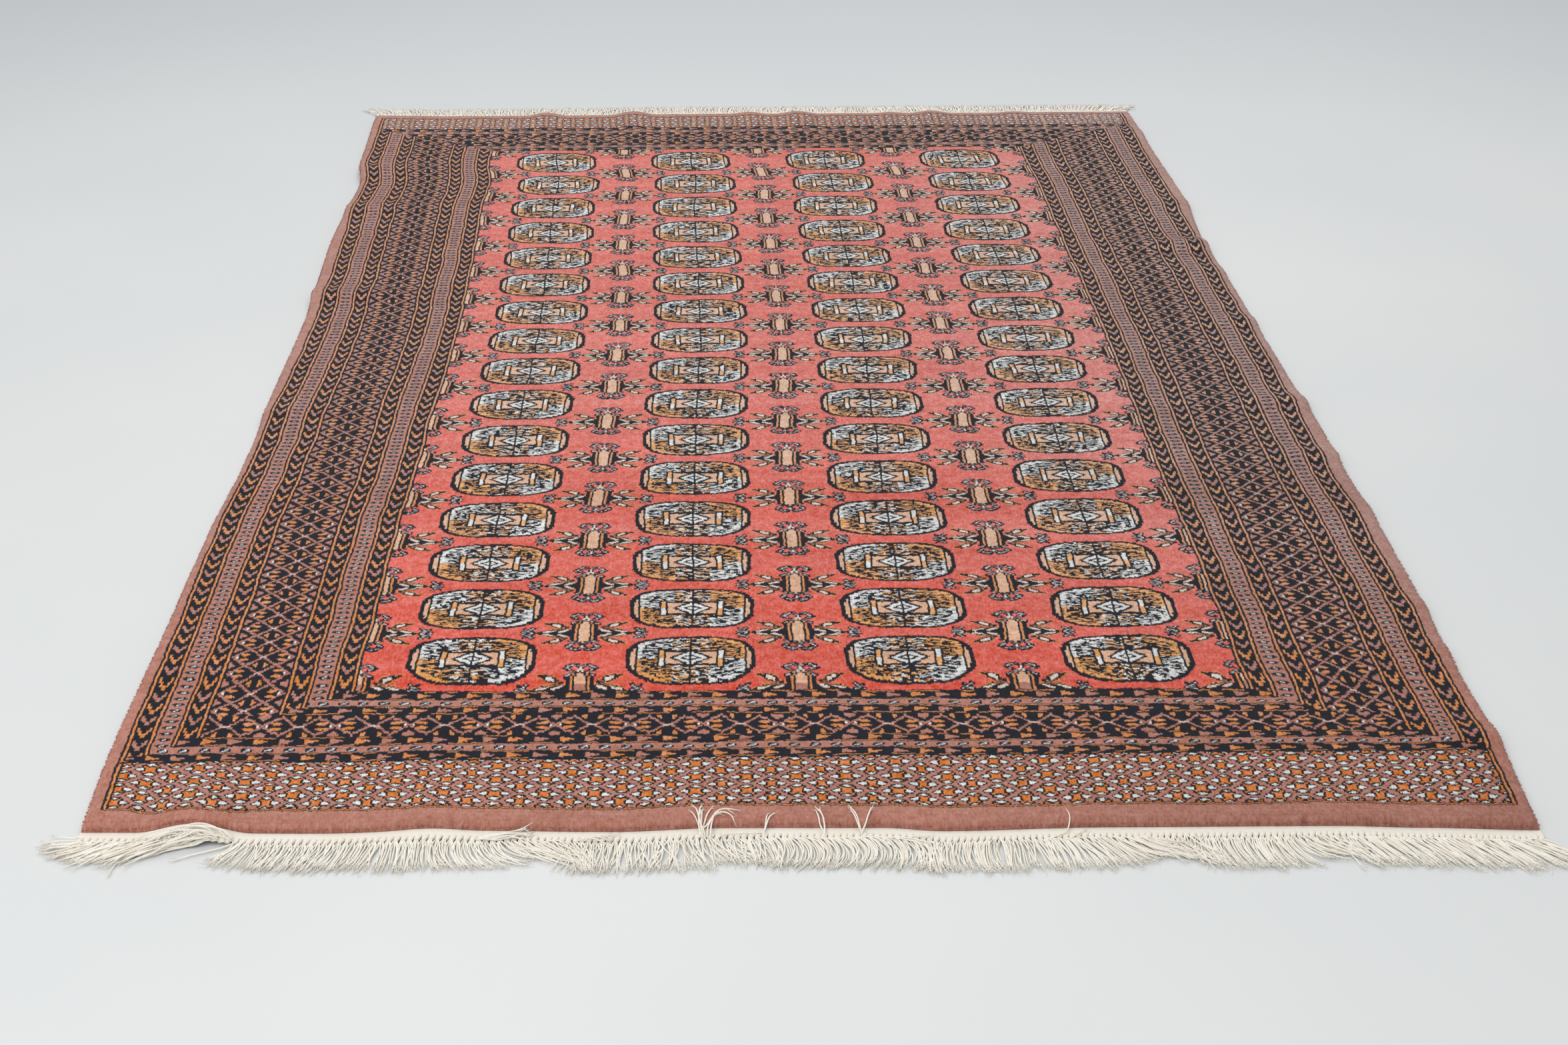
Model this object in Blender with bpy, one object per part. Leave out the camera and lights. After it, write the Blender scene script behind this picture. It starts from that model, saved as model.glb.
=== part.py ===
"""A hand-knotted wool rug lying on a floor, with a knotted cotton fringe spread from each end.

The pile is one thick sheet whose edges bow and ripple as a used rug's do. Each fringe is a narrow
woven web with the locks of warp yarn that run out of it. X runs across the rug, Y along it and Z up.
While the pieces are made, both are measured from the near-left corner of the flat pile, and at the end
the whole rug is moved so that the middle of its box, on the floor, is the origin.
"""
from collections import namedtuple
import math

import bmesh
import bpy
import numpy as np

# Driving dimensions, in metres
PILE_WIDTH = 1.25
PILE_LENGTH = 2.00
PILE_THICKNESS = 0.009
CORNER_ROUND = 0.006
WEB_DEPTH = 0.007
WEB_THICKNESS = 0.002
LOCK_LENGTH = 0.046
PIECE_GAP = 0.0003

# Fringe counts and the mesh's steps around the rug
LOCKS_PER_END = 144
ACROSS_STEPS = 62
ALONG_STEPS = 92

# How far the waver of an end edge is felt into the rug, in metres
END_WAVER_REACH = 0.10

# How the edges leave the straight line. at: metres along the edge, from the left or near corner.
# shift: metres towards +X on a side edge, towards +Y on an end edge.
EdgePoint = namedtuple("EdgePoint", "at shift")
LEFT_EDGE = [
    EdgePoint(0.00, -0.0030),
    EdgePoint(0.11, -0.0052),
    EdgePoint(0.42, 0.0010),
    EdgePoint(0.54, 0.0035),
    EdgePoint(0.68, 0.0110),
    EdgePoint(0.77, 0.0128),
    EdgePoint(0.85, 0.0112),
    EdgePoint(1.13, 0.0155),
    EdgePoint(1.24, 0.0120),
    EdgePoint(1.42, 0.0080),
    EdgePoint(1.55, 0.0115),
    EdgePoint(1.65, 0.0168),
    EdgePoint(1.78, 0.0030),
    EdgePoint(2.00, -0.0015),
]
RIGHT_EDGE = [
    EdgePoint(0.00, 0.0020),
    EdgePoint(0.13, 0.0095),
    EdgePoint(0.22, 0.0090),
    EdgePoint(0.45, 0.0145),
    EdgePoint(0.58, 0.0155),
    EdgePoint(0.66, 0.0130),
    EdgePoint(0.80, 0.0140),
    EdgePoint(0.96, 0.0100),
    EdgePoint(1.20, 0.0075),
    EdgePoint(1.41, 0.0025),
    EdgePoint(1.57, 0.0105),
    EdgePoint(1.85, 0.0040),
    EdgePoint(2.00, 0.0010),
]
NEAR_EDGE = [
    EdgePoint(0.00, 0.0000),
    EdgePoint(0.21, -0.0022),
    EdgePoint(0.30, 0.0022),
    EdgePoint(0.46, -0.0008),
    EdgePoint(0.55, 0.0045),
    EdgePoint(0.69, 0.0042),
    EdgePoint(0.74, -0.0008),
    EdgePoint(0.88, 0.0042),
    EdgePoint(1.08, 0.0056),
    EdgePoint(1.15, 0.0026),
    EdgePoint(1.25, -0.0014),
]
FAR_EDGE = [
    EdgePoint(0.00, 0.0005),
    EdgePoint(0.12, -0.0060),
    EdgePoint(0.35, -0.0045),
    EdgePoint(0.56, 0.0005),
    EdgePoint(0.97, -0.0005),
    EdgePoint(1.25, 0.0030),
]

# Ridges that lift the rug off the floor at an edge and die away inward.
# at: metres along the edge. half_width: along the edge. reach: how far in the ridge runs.
Ripple = namedtuple("Ripple", "edge at height half_width reach")
RIPPLES = [
    Ripple("near", 0.098, 0.0100, 0.052, 0.150),
    Ripple("near", 0.302, 0.0020, 0.045, 0.080),
    Ripple("far", 0.285, 0.0050, 0.036, 0.120),
    Ripple("far", 0.428, 0.0060, 0.042, 0.150),
    Ripple("far", 0.620, 0.0030, 0.034, 0.080),
    Ripple("far", 0.700, 0.0042, 0.038, 0.120),
    Ripple("far", 0.855, 0.0022, 0.034, 0.070),
    Ripple("far", 0.920, 0.0042, 0.038, 0.120),
    Ripple("far", 1.060, 0.0020, 0.040, 0.070),
    Ripple("left", 0.640, 0.0020, 0.040, 0.090),
    Ripple("left", 0.838, 0.0030, 0.036, 0.110),
    Ripple("left", 1.208, 0.0065, 0.040, 0.210),
    Ripple("left", 1.545, 0.0040, 0.042, 0.210),
    Ripple("left", 1.715, 0.0060, 0.050, 0.170),
    Ripple("right", 0.138, 0.0050, 0.034, 0.090),
    Ripple("right", 0.277, 0.0030, 0.034, 0.070),
    Ripple("right", 0.366, 0.0030, 0.034, 0.070),
    Ripple("right", 0.580, 0.0025, 0.040, 0.070),
    Ripple("right", 0.712, 0.0045, 0.034, 0.110),
    Ripple("right", 0.856, 0.0052, 0.036, 0.130),
    Ripple("right", 1.104, 0.0042, 0.036, 0.120),
    Ripple("right", 1.282, 0.0025, 0.034, 0.090),
    Ripple("right", 1.380, 0.0065, 0.040, 0.200),
    Ripple("right", 1.552, 0.0030, 0.044, 0.120),
    Ripple("right", 1.890, 0.0025, 0.040, 0.080),
]

# Rings of points around the rug, from the middle of its underside out, up and over to the middle of
# its face. inset: metres in from the edge. level: share of the thickness above the underside.
Ring = namedtuple("Ring", "inset level")
RINGS = [
    Ring(0.220, 0.00),
    Ring(0.110, 0.00),
    Ring(0.040, 0.00),
    Ring(0.000, 0.00),
    Ring(0.000, 0.50),
    Ring(0.002, 0.86),
    Ring(0.006, 1.00),
    Ring(0.040, 1.00),
    Ring(0.110, 1.00),
    Ring(0.220, 1.00),
]

# How much of the rug's clearance is left at the web's outer edge, as a share
WEB_DROP = 0.6

# Sections of a fringe lock: at its knot, just past the knot, and at its tip.
# reach: metres out of the web. lift: share of the web's own lift. turned: whether the lock's sweep has begun.
Section = namedtuple("Section", "reach width height lift turned")
LOCK_ROOT_WIDTH = 0.0056
LOCK_SECTIONS = [
    Section(0.0045, 0.0066, 0.0045, 0.5, False),
    Section(0.0095, 0.0052, 0.0032, 0.2, False),
    Section(LOCK_LENGTH, 0.0050, 0.0015, 0.0, True),
]

# Which way the locks are swept. at: metres from the left corner. degrees: towards +X.
Sweep = namedtuple("Sweep", "at degrees")
NEAR_SWEEP = [
    Sweep(0.00, -50.0),
    Sweep(0.06, -14.0),
    Sweep(0.12, -8.0),
    Sweep(0.28, 2.0),
    Sweep(0.40, -10.0),
    Sweep(0.62, 5.0),
    Sweep(0.86, 8.0),
    Sweep(1.02, -2.0),
    Sweep(1.17, 8.0),
    Sweep(1.25, 42.0),
]
FAR_SWEEP = [
    Sweep(0.00, -24.0),
    Sweep(0.10, -6.0),
    Sweep(0.45, 4.0),
    Sweep(0.80, -5.0),
    Sweep(1.15, 6.0),
    Sweep(1.25, 22.0),
]
LOCK_LENGTH_SPREAD = 0.05
LOCK_ANGLE_SPREAD = math.radians(1.5)
FRINGE_SEED = 11

# Linear colours of the wool and the cotton
WOOL_COLOUR = (0.40, 0.13, 0.09, 1.0)
COTTON_COLOUR = (0.78, 0.73, 0.62, 1.0)
WOOL_ROUGHNESS = 0.9
COTTON_ROUGHNESS = 0.8


def clear_scene():
    """Remove what a new file holds."""
    for item in list(bpy.data.objects):
        bpy.data.objects.remove(item, do_unlink=True)


def eased(stations, values, at):
    """Value at a place in a table, with a smooth step from each station to the next."""
    stations = np.asarray(stations)
    values = np.asarray(values)
    inside = np.clip(at, stations[0], stations[-1])
    left = np.clip(np.searchsorted(stations, inside, side="right") - 1, 0, len(stations) - 2)
    share = (inside - stations[left]) / (stations[left + 1] - stations[left])
    share = share * share * (3 - 2 * share)
    return values[left] * (1 - share) + values[left + 1] * share


def edge_shift(table, at):
    """How far an edge lies from its straight line at a place along it."""
    return eased([row.at for row in table], [row.shift for row in table], at)


def plan_place(across, along):
    """Where a point of the flat pile lies: the sides bow together and the end edges waver near themselves."""
    share = across / PILE_WIDTH
    x = across + (1 - share) * edge_shift(LEFT_EDGE, along) + share * edge_shift(RIGHT_EDGE, along)
    near = np.exp(-along / END_WAVER_REACH) * edge_shift(NEAR_EDGE, across)
    far = np.exp(-(PILE_LENGTH - along) / END_WAVER_REACH) * edge_shift(FAR_EDGE, across)
    return x, along + near + far


def floor_clearance(across, along):
    """Height of the underside off the floor: ridges that are a raised cosine along their edge and fade inward."""
    measures = {
        "near": (across, along),
        "far": (across, PILE_LENGTH - along),
        "left": (along, across),
        "right": (along, PILE_WIDTH - across),
    }
    total = np.zeros_like(across)
    for ripple in RIPPLES:
        place, inward = measures[ripple.edge]
        offset = np.clip((place - ripple.at) / ripple.half_width, -1.0, 1.0)
        fade = np.clip(1.0 - inward / ripple.reach, 0.0, 1.0)
        total += ripple.height * 0.5 * (1 + np.cos(math.pi * offset)) * fade * fade * (3 - 2 * fade)
    return total


def ring_points(inset, level):
    """One ring of points around the rug, counter-clockwise from the near-left corner."""
    end = np.linspace(CORNER_ROUND / PILE_WIDTH, 1 - CORNER_ROUND / PILE_WIDTH, ACROSS_STEPS + 1)
    side = np.linspace(CORNER_ROUND / PILE_LENGTH, 1 - CORNER_ROUND / PILE_LENGTH, ALONG_STEPS + 1)
    corner_u = 0.3 * CORNER_ROUND / PILE_WIDTH
    corner_v = 0.3 * CORNER_ROUND / PILE_LENGTH
    zero_end, zero_side = np.zeros_like(end), np.zeros_like(side)
    u = np.concatenate([end, [1 - corner_u], zero_side + 1, [1 - corner_u],
                        end[::-1], [corner_u], zero_side, [corner_u]])
    v = np.concatenate([zero_end, [corner_v], side, [1 - corner_v],
                        zero_end + 1, [1 - corner_v], side[::-1], [corner_v]])
    across = inset + u * (PILE_WIDTH - 2 * inset)
    along = inset + v * (PILE_LENGTH - 2 * inset)
    x, y = plan_place(across, along)
    return np.column_stack([x, y, floor_clearance(across, along) + level * PILE_THICKNESS])


def end_edge(which):
    """The points of the lower rim along the near or the far end, in the ring's order."""
    rim = ring_points(0.0, 0.0)
    first = 0 if which == "near" else ACROSS_STEPS + ALONG_STEPS + 4
    return rim[first:first + ACROSS_STEPS + 1]


def make_material(name, colour, roughness):
    """A plain Principled finish."""
    material = bpy.data.materials.new(name)
    material.use_nodes = True
    shader = material.node_tree.nodes["Principled BSDF"]
    shader.inputs["Base Color"].default_value = colour
    shader.inputs["Roughness"].default_value = roughness
    shader.inputs["Metallic"].default_value = 0.0
    return material


def add_object(name, points, faces, material):
    """A named object from points and faces, with its faces turned outward and its sharp edges kept."""
    mesh = bpy.data.meshes.new(name)
    mesh.from_pydata([tuple(point) for point in points], [], faces)
    shaped = bmesh.new()
    shaped.from_mesh(mesh)
    bmesh.ops.recalc_face_normals(shaped, faces=shaped.faces)
    shaped.to_mesh(mesh)
    shaped.free()
    mesh.shade_smooth()
    mesh.set_sharp_from_angle(angle=math.radians(50))
    mesh.materials.append(material)
    item = bpy.data.objects.new(name, mesh)
    bpy.context.collection.objects.link(item)
    return item


def make_rug(material):
    """The pile and its foundation: rings of points joined into one sheet, closed at the middle of each face."""
    rings = [ring_points(ring.inset, ring.level) for ring in RINGS]
    count = len(rings[0])
    faces = [list(range(count))[::-1]]
    for level in range(len(rings) - 1):
        lower, upper = level * count, (level + 1) * count
        for step in range(count):
            following = (step + 1) % count
            faces.append([lower + step, lower + following, upper + following, upper + step])
    faces.append(list(range((len(rings) - 1) * count, len(rings) * count)))
    return add_object("rug", np.concatenate(rings), faces, material)


def point_on(edge, share):
    """Points on an end edge, at shares of its width in the ring's order."""
    travelled = np.abs(edge[:, 0] - edge[0, 0])
    travelled = travelled / travelled[-1]
    return np.column_stack([np.interp(share, travelled, edge[:, axis]) for axis in range(3)])


def make_fringe(name, which, sweep_table, material):
    """One fringe: a web that follows the pile's edge, and locks that run out of it and rest on the floor.

    The web is a strip moved outward from the edge. A lock is a four-sided tube, straight out through its
    knot and then along its own sweep. Its corners go low left, low right, high right, high left, where
    right is the way that the ring of the rug's edge runs.
    """
    rng = np.random.default_rng(FRINGE_SEED)
    edge = end_edge(which)
    up = np.array([0.0, 0.0, 1.0])
    outward = np.array([0.0, -1.0 if which == "near" else 1.0, 0.0])
    middles = (np.arange(LOCKS_PER_END) + 0.5) / LOCKS_PER_END
    half_root = 0.5 * LOCK_ROOT_WIDTH / PILE_WIDTH

    inner = point_on(edge, np.linspace(0.0, 1.0, LOCKS_PER_END + 1)) + outward * PIECE_GAP
    left, right = [point_on(edge, middles + side * half_root) + outward * (PIECE_GAP + WEB_DEPTH)
                   for side in (-1, 1)]
    for root in (left, right):
        root[:, 2] *= WEB_DROP
    corners = [(left, right, right + up * WEB_THICKNESS, left + up * WEB_THICKNESS)]

    middle = 0.5 * (left + right)
    root_height = middle[:, 2].copy()
    angles = np.radians(eased([row.at for row in sweep_table], [row.degrees for row in sweep_table],
                              middle[:, 0]))
    angles += rng.uniform(-1, 1, LOCKS_PER_END) * LOCK_ANGLE_SPREAD
    lengths = 1 + rng.uniform(-1, 1, LOCKS_PER_END) * LOCK_LENGTH_SPREAD
    swept = np.cos(angles)[:, None] * outward + np.sin(angles)[:, None] * np.array([1.0, 0.0, 0.0])
    passed = 0.0
    for section in LOCK_SECTIONS:
        way = swept if section.turned else np.tile(outward, (LOCKS_PER_END, 1))
        stretch = lengths if section.turned else np.ones(LOCKS_PER_END)
        middle = middle + way * ((section.reach - passed) * stretch)[:, None]
        middle[:, 2] = root_height * section.lift
        passed = section.reach
        half = 0.5 * section.width * np.cross(up, way)
        top = up * section.height
        corners.append((middle - half, middle + half, middle + half + top, middle - half + top))

    points = [inner, inner + up * WEB_THICKNESS]
    for section_corners in corners:
        points.extend(section_corners)
    inner_count = LOCKS_PER_END + 1

    def corner(lock, section, index):
        """Number of a lock's corner among the points."""
        return 2 * inner_count + (4 * section + index) * LOCKS_PER_END + lock

    faces = []
    for lock in range(LOCKS_PER_END):
        low, high = lock, inner_count + lock
        low_left, low_right, high_right, high_left = [corner(lock, 0, index) for index in range(4)]
        faces.append([low, low + 1, low_right, low_left])
        faces.append([high, high + 1, high_right, high_left])
        faces.append([low, low + 1, high + 1, high])
        if lock < LOCKS_PER_END - 1:
            next_low, next_high = corner(lock + 1, 0, 0), corner(lock + 1, 0, 3)
            faces.append([low + 1, next_low, low_right])
            faces.append([high + 1, next_high, high_right])
            faces.append([low_right, next_low, next_high, high_right])
        for section in range(len(corners) - 1):
            for index in range(4):
                following = (index + 1) % 4
                faces.append([corner(lock, section, index), corner(lock, section, following),
                              corner(lock, section + 1, following), corner(lock, section + 1, index)])
        faces.append([corner(lock, len(corners) - 1, index) for index in range(4)])
    last = LOCKS_PER_END - 1
    faces.append([0, corner(0, 0, 0), corner(0, 0, 3), inner_count])
    faces.append([last + 1, corner(last, 0, 1), corner(last, 0, 2), inner_count + last + 1])
    return add_object(name, np.concatenate(points), faces, material)


def put_origin_under_middle(items):
    """Move every piece alike, so that the middle of their common box, at its lowest level, is the origin."""
    points = np.array([vertex.co for item in items for vertex in item.data.vertices])
    low, high = points.min(axis=0), points.max(axis=0)
    shift = (-0.5 * (low[0] + high[0]), -0.5 * (low[1] + high[1]), -low[2])
    for item in items:
        item.location = shift


clear_scene()
wool = make_material("wool_pile", WOOL_COLOUR, WOOL_ROUGHNESS)
cotton = make_material("cotton_warp", COTTON_COLOUR, COTTON_ROUGHNESS)
put_origin_under_middle([
    make_rug(wool),
    make_fringe("fringe_near", "near", NEAR_SWEEP, cotton),
    make_fringe("fringe_far", "far", FAR_SWEEP, cotton),
])
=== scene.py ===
# %% [markdown]
# # A hand-knotted rug on a floor
#
# This notebook dresses a plain model of a Bokhara rug. The model already says how long, how wide and how
# high everything is. What is missing is what makes it a rug: a pile of knots in eleven colours, each in
# its place in an old pattern, and the warp yarns that leave the weave at both ends as a knotted fringe.
#
# The first cell loads that plain model, and moves each part's placing into its own points.

# %% The frame
from collections import namedtuple
import math

import bpy
from mathutils import Euler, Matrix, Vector
import numpy as np


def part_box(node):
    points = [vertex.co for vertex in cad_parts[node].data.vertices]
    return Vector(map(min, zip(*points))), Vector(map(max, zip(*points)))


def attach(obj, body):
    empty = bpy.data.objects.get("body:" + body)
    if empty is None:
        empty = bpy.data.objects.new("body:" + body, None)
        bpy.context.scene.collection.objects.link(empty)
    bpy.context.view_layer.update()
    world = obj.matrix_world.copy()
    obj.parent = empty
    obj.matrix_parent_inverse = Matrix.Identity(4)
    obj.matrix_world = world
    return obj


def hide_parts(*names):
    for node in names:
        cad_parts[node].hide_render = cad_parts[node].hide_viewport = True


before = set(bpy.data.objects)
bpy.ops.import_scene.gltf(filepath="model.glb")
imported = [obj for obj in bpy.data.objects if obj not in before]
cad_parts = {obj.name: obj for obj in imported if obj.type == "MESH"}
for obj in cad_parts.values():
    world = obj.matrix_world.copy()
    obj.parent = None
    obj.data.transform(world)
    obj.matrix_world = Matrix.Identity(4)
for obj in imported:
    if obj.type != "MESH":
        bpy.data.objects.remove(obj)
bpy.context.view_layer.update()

# %% [markdown]
# ## How the rug lies
#
# The rug is 1.25 m wide and 2 m long, and its pile stands 9 mm high. It has been used, so its edges bow
# and a few low ridges lift it off the floor. The plain model was shaped by short tables of those bows
# and ridges. The same tables stand here, so that the finer pile has the same form as the plain one.
# Each place is measured from the near-left corner of the pile: across is to the right, and along is
# towards the far end.

# %% Sizes and the tables of edges and ridges
PILE_WIDTH = 1.25
PILE_LENGTH = 2.00
PILE_THICKNESS = 0.009
WEB_THICKNESS = 0.002
PIECE_GAP = 0.0003
END_WAVER_REACH = 0.10

# Each row: metres along the edge, and metres by which the edge lies towards +X there, or towards +Y at an
# end.
LEFT_EDGE = [
    (0.00, -0.0030), (0.11, -0.0052), (0.42, 0.0010), (0.54, 0.0035), (0.68, 0.0110), (0.77, 0.0128),
    (0.85, 0.0112), (1.13, 0.0155), (1.24, 0.0120), (1.42, 0.0080), (1.55, 0.0115), (1.65, 0.0168),
    (1.78, 0.0030), (2.00, -0.0015),
]
RIGHT_EDGE = [
    (0.00, 0.0020), (0.13, 0.0095), (0.22, 0.0090), (0.45, 0.0145), (0.58, 0.0155), (0.66, 0.0130),
    (0.80, 0.0140), (0.96, 0.0100), (1.20, 0.0075), (1.41, 0.0025), (1.57, 0.0105), (1.85, 0.0040),
    (2.00, 0.0010),
]
NEAR_EDGE = [
    (0.00, 0.0000), (0.21, -0.0022), (0.30, 0.0022), (0.46, -0.0008), (0.55, 0.0045), (0.69, 0.0042),
    (0.74, -0.0008), (0.88, 0.0042), (1.08, 0.0056), (1.15, 0.0026), (1.25, -0.0014),
]
FAR_EDGE = [
    (0.00, 0.0005), (0.12, -0.0060), (0.35, -0.0045), (0.56, 0.0005), (0.97, -0.0005), (1.25, 0.0030),
]

# Ridges that lift the rug at an edge. at: metres along the edge. reach: how far in the ridge runs.
Ripple = namedtuple("Ripple", "edge at height half_width reach")
RIPPLES = [
    Ripple("near", 0.098, 0.0100, 0.052, 0.150),
    Ripple("near", 0.302, 0.0020, 0.045, 0.080),
    Ripple("far", 0.285, 0.0050, 0.036, 0.120),
    Ripple("far", 0.428, 0.0060, 0.042, 0.150),
    Ripple("far", 0.620, 0.0030, 0.034, 0.080),
    Ripple("far", 0.700, 0.0042, 0.038, 0.120),
    Ripple("far", 0.855, 0.0022, 0.034, 0.070),
    Ripple("far", 0.920, 0.0042, 0.038, 0.120),
    Ripple("far", 1.060, 0.0020, 0.040, 0.070),
    Ripple("left", 0.640, 0.0020, 0.040, 0.090),
    Ripple("left", 0.838, 0.0030, 0.036, 0.110),
    Ripple("left", 1.208, 0.0065, 0.040, 0.210),
    Ripple("left", 1.545, 0.0040, 0.042, 0.210),
    Ripple("left", 1.715, 0.0060, 0.050, 0.170),
    Ripple("right", 0.138, 0.0050, 0.034, 0.090),
    Ripple("right", 0.277, 0.0030, 0.034, 0.070),
    Ripple("right", 0.366, 0.0030, 0.034, 0.070),
    Ripple("right", 0.580, 0.0025, 0.040, 0.070),
    Ripple("right", 0.712, 0.0045, 0.034, 0.110),
    Ripple("right", 0.856, 0.0052, 0.036, 0.130),
    Ripple("right", 1.104, 0.0042, 0.036, 0.120),
    Ripple("right", 1.282, 0.0025, 0.034, 0.090),
    Ripple("right", 1.380, 0.0065, 0.040, 0.200),
    Ripple("right", 1.552, 0.0030, 0.044, 0.120),
    Ripple("right", 1.890, 0.0025, 0.040, 0.080),
]


# %% Where a point of the flat pile lies on the floor, and how high
def ease(share):
    """A share from 0 to 1 that starts and ends gently: s*s*(3 - 2s)."""
    return share * share * (3 - 2 * share)


def eased(stations, values, at):
    """Value at a place in a table: between two stations it eases from one to the other."""
    stations, values = np.asarray(stations), np.asarray(values)
    inside = np.clip(at, stations[0], stations[-1])
    left = np.clip(np.searchsorted(stations, inside, side="right") - 1, 0, len(stations) - 2)
    share = ease((inside - stations[left]) / (stations[left + 1] - stations[left]))
    return values[left] * (1 - share) + values[left + 1] * share


def edge_shift(table, at):
    """How far an edge lies from its straight line at a place along it."""
    return eased(*zip(*table), at)


def plan_place(across, along):
    """The sides bow together, shared out by the distance to each. The ends waver near themselves alone."""
    share = across / PILE_WIDTH
    x = across + (1 - share) * edge_shift(LEFT_EDGE, along) + share * edge_shift(RIGHT_EDGE, along)
    near = np.exp(-along / END_WAVER_REACH) * edge_shift(NEAR_EDGE, across)
    far = np.exp(-(PILE_LENGTH - along) / END_WAVER_REACH) * edge_shift(FAR_EDGE, across)
    return x, along + near + far


def floor_clearance(across, along):
    """Height of the underside: each ridge is a raised cosine along its edge, and fades inward."""
    measures = {
        "near": (across, along),
        "far": (across, PILE_LENGTH - along),
        "left": (along, across),
        "right": (along, PILE_WIDTH - across),
    }
    total = np.zeros(np.broadcast(across, along).shape)
    for ripple in RIPPLES:
        place, inward = measures[ripple.edge]
        offset = np.clip((place - ripple.at) / ripple.half_width, -1.0, 1.0)
        fade = np.clip(1.0 - inward / ripple.reach, 0.0, 1.0)
        total = total + ripple.height * 0.5 * (1 + np.cos(math.pi * offset)) * ease(fade)
    return total


def corner_in_frame():
    """Where the near-left corner of the pile lies in the frame: the model's box less the outline's own."""
    side = np.linspace(0, PILE_LENGTH, 801)
    end = np.linspace(0, PILE_WIDTH, 501)
    left_x, _ = plan_place(np.zeros_like(side), side)
    _, near_y = plan_place(end, np.zeros_like(end))
    box_low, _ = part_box("rug")
    return np.array([box_low[0] - left_x.min(), box_low[1] - near_y.min(), box_low[2]])


CORNER = corner_in_frame()
print("near-left corner of the pile, in metres:", CORNER.round(4))

# %% [markdown]
# ## Helpers
#
# Every new piece here is a sheet, a bead or a tube worked out as whole arrays of numbers. One small helper
# turns such arrays into a mesh. The others start a material and turn a screen's colour into light.


# %% Helpers: a mesh from arrays, and a material to fill
def mesh_object(name, points, faces, material, smooth=True):
    """An object at the origin from an array of points and an array, or a list, of faces."""
    mesh = bpy.data.meshes.new(name)
    mesh.from_pydata(np.asarray(points, dtype=float).tolist(), [], [list(map(int, face)) for face in faces])
    mesh.validate()
    mesh.polygons.foreach_set("use_smooth", np.full(len(mesh.polygons), smooth))
    mesh.materials.append(material)
    item = bpy.data.objects.new(name, mesh)
    bpy.context.collection.objects.link(item)
    return item


def add_map(item, name, values):
    """A UV map, from two numbers for each corner of each face."""
    item.data.uv_layers.new(name=name).data.foreach_set("uv", values.ravel())


def new_material(name):
    """A node material, its tree of nodes, and the shader to plug into."""
    material = bpy.data.materials.new(name)
    material.use_nodes = True
    tree = material.node_tree
    return material, tree, tree.nodes["Principled BSDF"]


def srgb(red, green, blue):
    """A colour given as the 0 to 255 numbers of a screen, as the linear light that shaders use."""
    values = np.array([red, green, blue]) / 255
    linear = np.where(values <= 0.04045, values / 12.92, ((values + 0.055) / 1.055) ** 2.4)
    return (*map(float, linear), 1.0)


# %% [markdown]
# ## Sums for a material
#
# The pattern of a rug is arithmetic: which knot is this, which band is it in, and which row of the chart
# comes next. Shader nodes can do that, but a sum with a node for each sign is hard to read. So a small
# class stands for the number that comes out of a node. Writing a + b on two of them adds a Math node.
# The floor and the cotton use the same sums, with fewer of them.


# %% A number that nodes work out
class Thread:
    """The output of a node, usable in sums. Each sum adds one Math node to the same material."""

    def __init__(self, socket):
        self.socket = socket
        self.tree = socket.id_data

    def __add__(self, other):
        return worked("ADD", self, other)

    def __radd__(self, other):
        return worked("ADD", other, self)

    def __sub__(self, other):
        return worked("SUBTRACT", self, other)

    def __rsub__(self, other):
        return worked("SUBTRACT", other, self)

    def __mul__(self, other):
        return worked("MULTIPLY", self, other)

    def __rmul__(self, other):
        return worked("MULTIPLY", other, self)

    def __truediv__(self, other):
        return worked("DIVIDE", self, other)

    def __mod__(self, other):
        return worked("FLOORED_MODULO", self, other)

    def __lt__(self, other):
        return worked("LESS_THAN", self, other)

    def __gt__(self, other):
        return worked("GREATER_THAN", self, other)

    def __abs__(self):
        return worked("ABSOLUTE", self)


def plug(tree, value, socket):
    """Link a Thread to a socket, or set the socket to a plain value."""
    if isinstance(value, Thread):
        tree.links.new(value.socket, socket)
    else:
        socket.default_value = value


def worked(operation, *values):
    """One Math node."""
    tree = next(value.tree for value in values if isinstance(value, Thread))
    node = tree.nodes.new("ShaderNodeMath")
    node.operation = operation
    for value, socket in zip(values, node.inputs):
        plug(tree, value, socket)
    return Thread(node.outputs[0])


def whole(value):
    """The whole number at or below a value."""
    return worked("FLOOR", value)


def smaller(one, other):
    """The smaller of two numbers."""
    return worked("MINIMUM", one, other)


def larger(one, other):
    """The larger of two numbers."""
    return worked("MAXIMUM", one, other)


def held(value):
    """A number held between 0 and 1."""
    return smaller(larger(value, 0.0), 1.0)


def matches(value, number):
    """1 where a whole number is the one asked for, and 0 elsewhere."""
    return worked("COMPARE", value, float(number), 0.4)


def chosen(condition, if_true, if_false):
    """One of two numbers, by a condition that is 1 or 0: false + condition * (true - false)."""
    if isinstance(if_true, Thread) or isinstance(if_false, Thread):
        step = if_true - if_false
    else:
        step = float(if_true - if_false)
    return worked("MULTIPLY_ADD", condition, step, if_false)


def folded(value, period):
    """Distance to the nearest whole multiple of a period, as a chart repeats with its mirror image."""
    rest = value % period
    return smaller(rest, period - rest)


def joined(tree, x, y, z=0.0):
    """A vector from up to three numbers."""
    node = tree.nodes.new("ShaderNodeCombineXYZ")
    for value, socket in zip((x, y, z), node.inputs):
        plug(tree, value, socket)
    return node.outputs[0]


def noise(tree, vector, scale, detail):
    """Cloudy noise from about 0 to 1, read at a vector."""
    node = tree.nodes.new("ShaderNodeTexNoise")
    node.inputs["Scale"].default_value = scale
    node.inputs["Detail"].default_value = detail
    tree.links.new(vector, node.inputs["Vector"])
    return Thread(node.outputs["Fac"])


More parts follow.
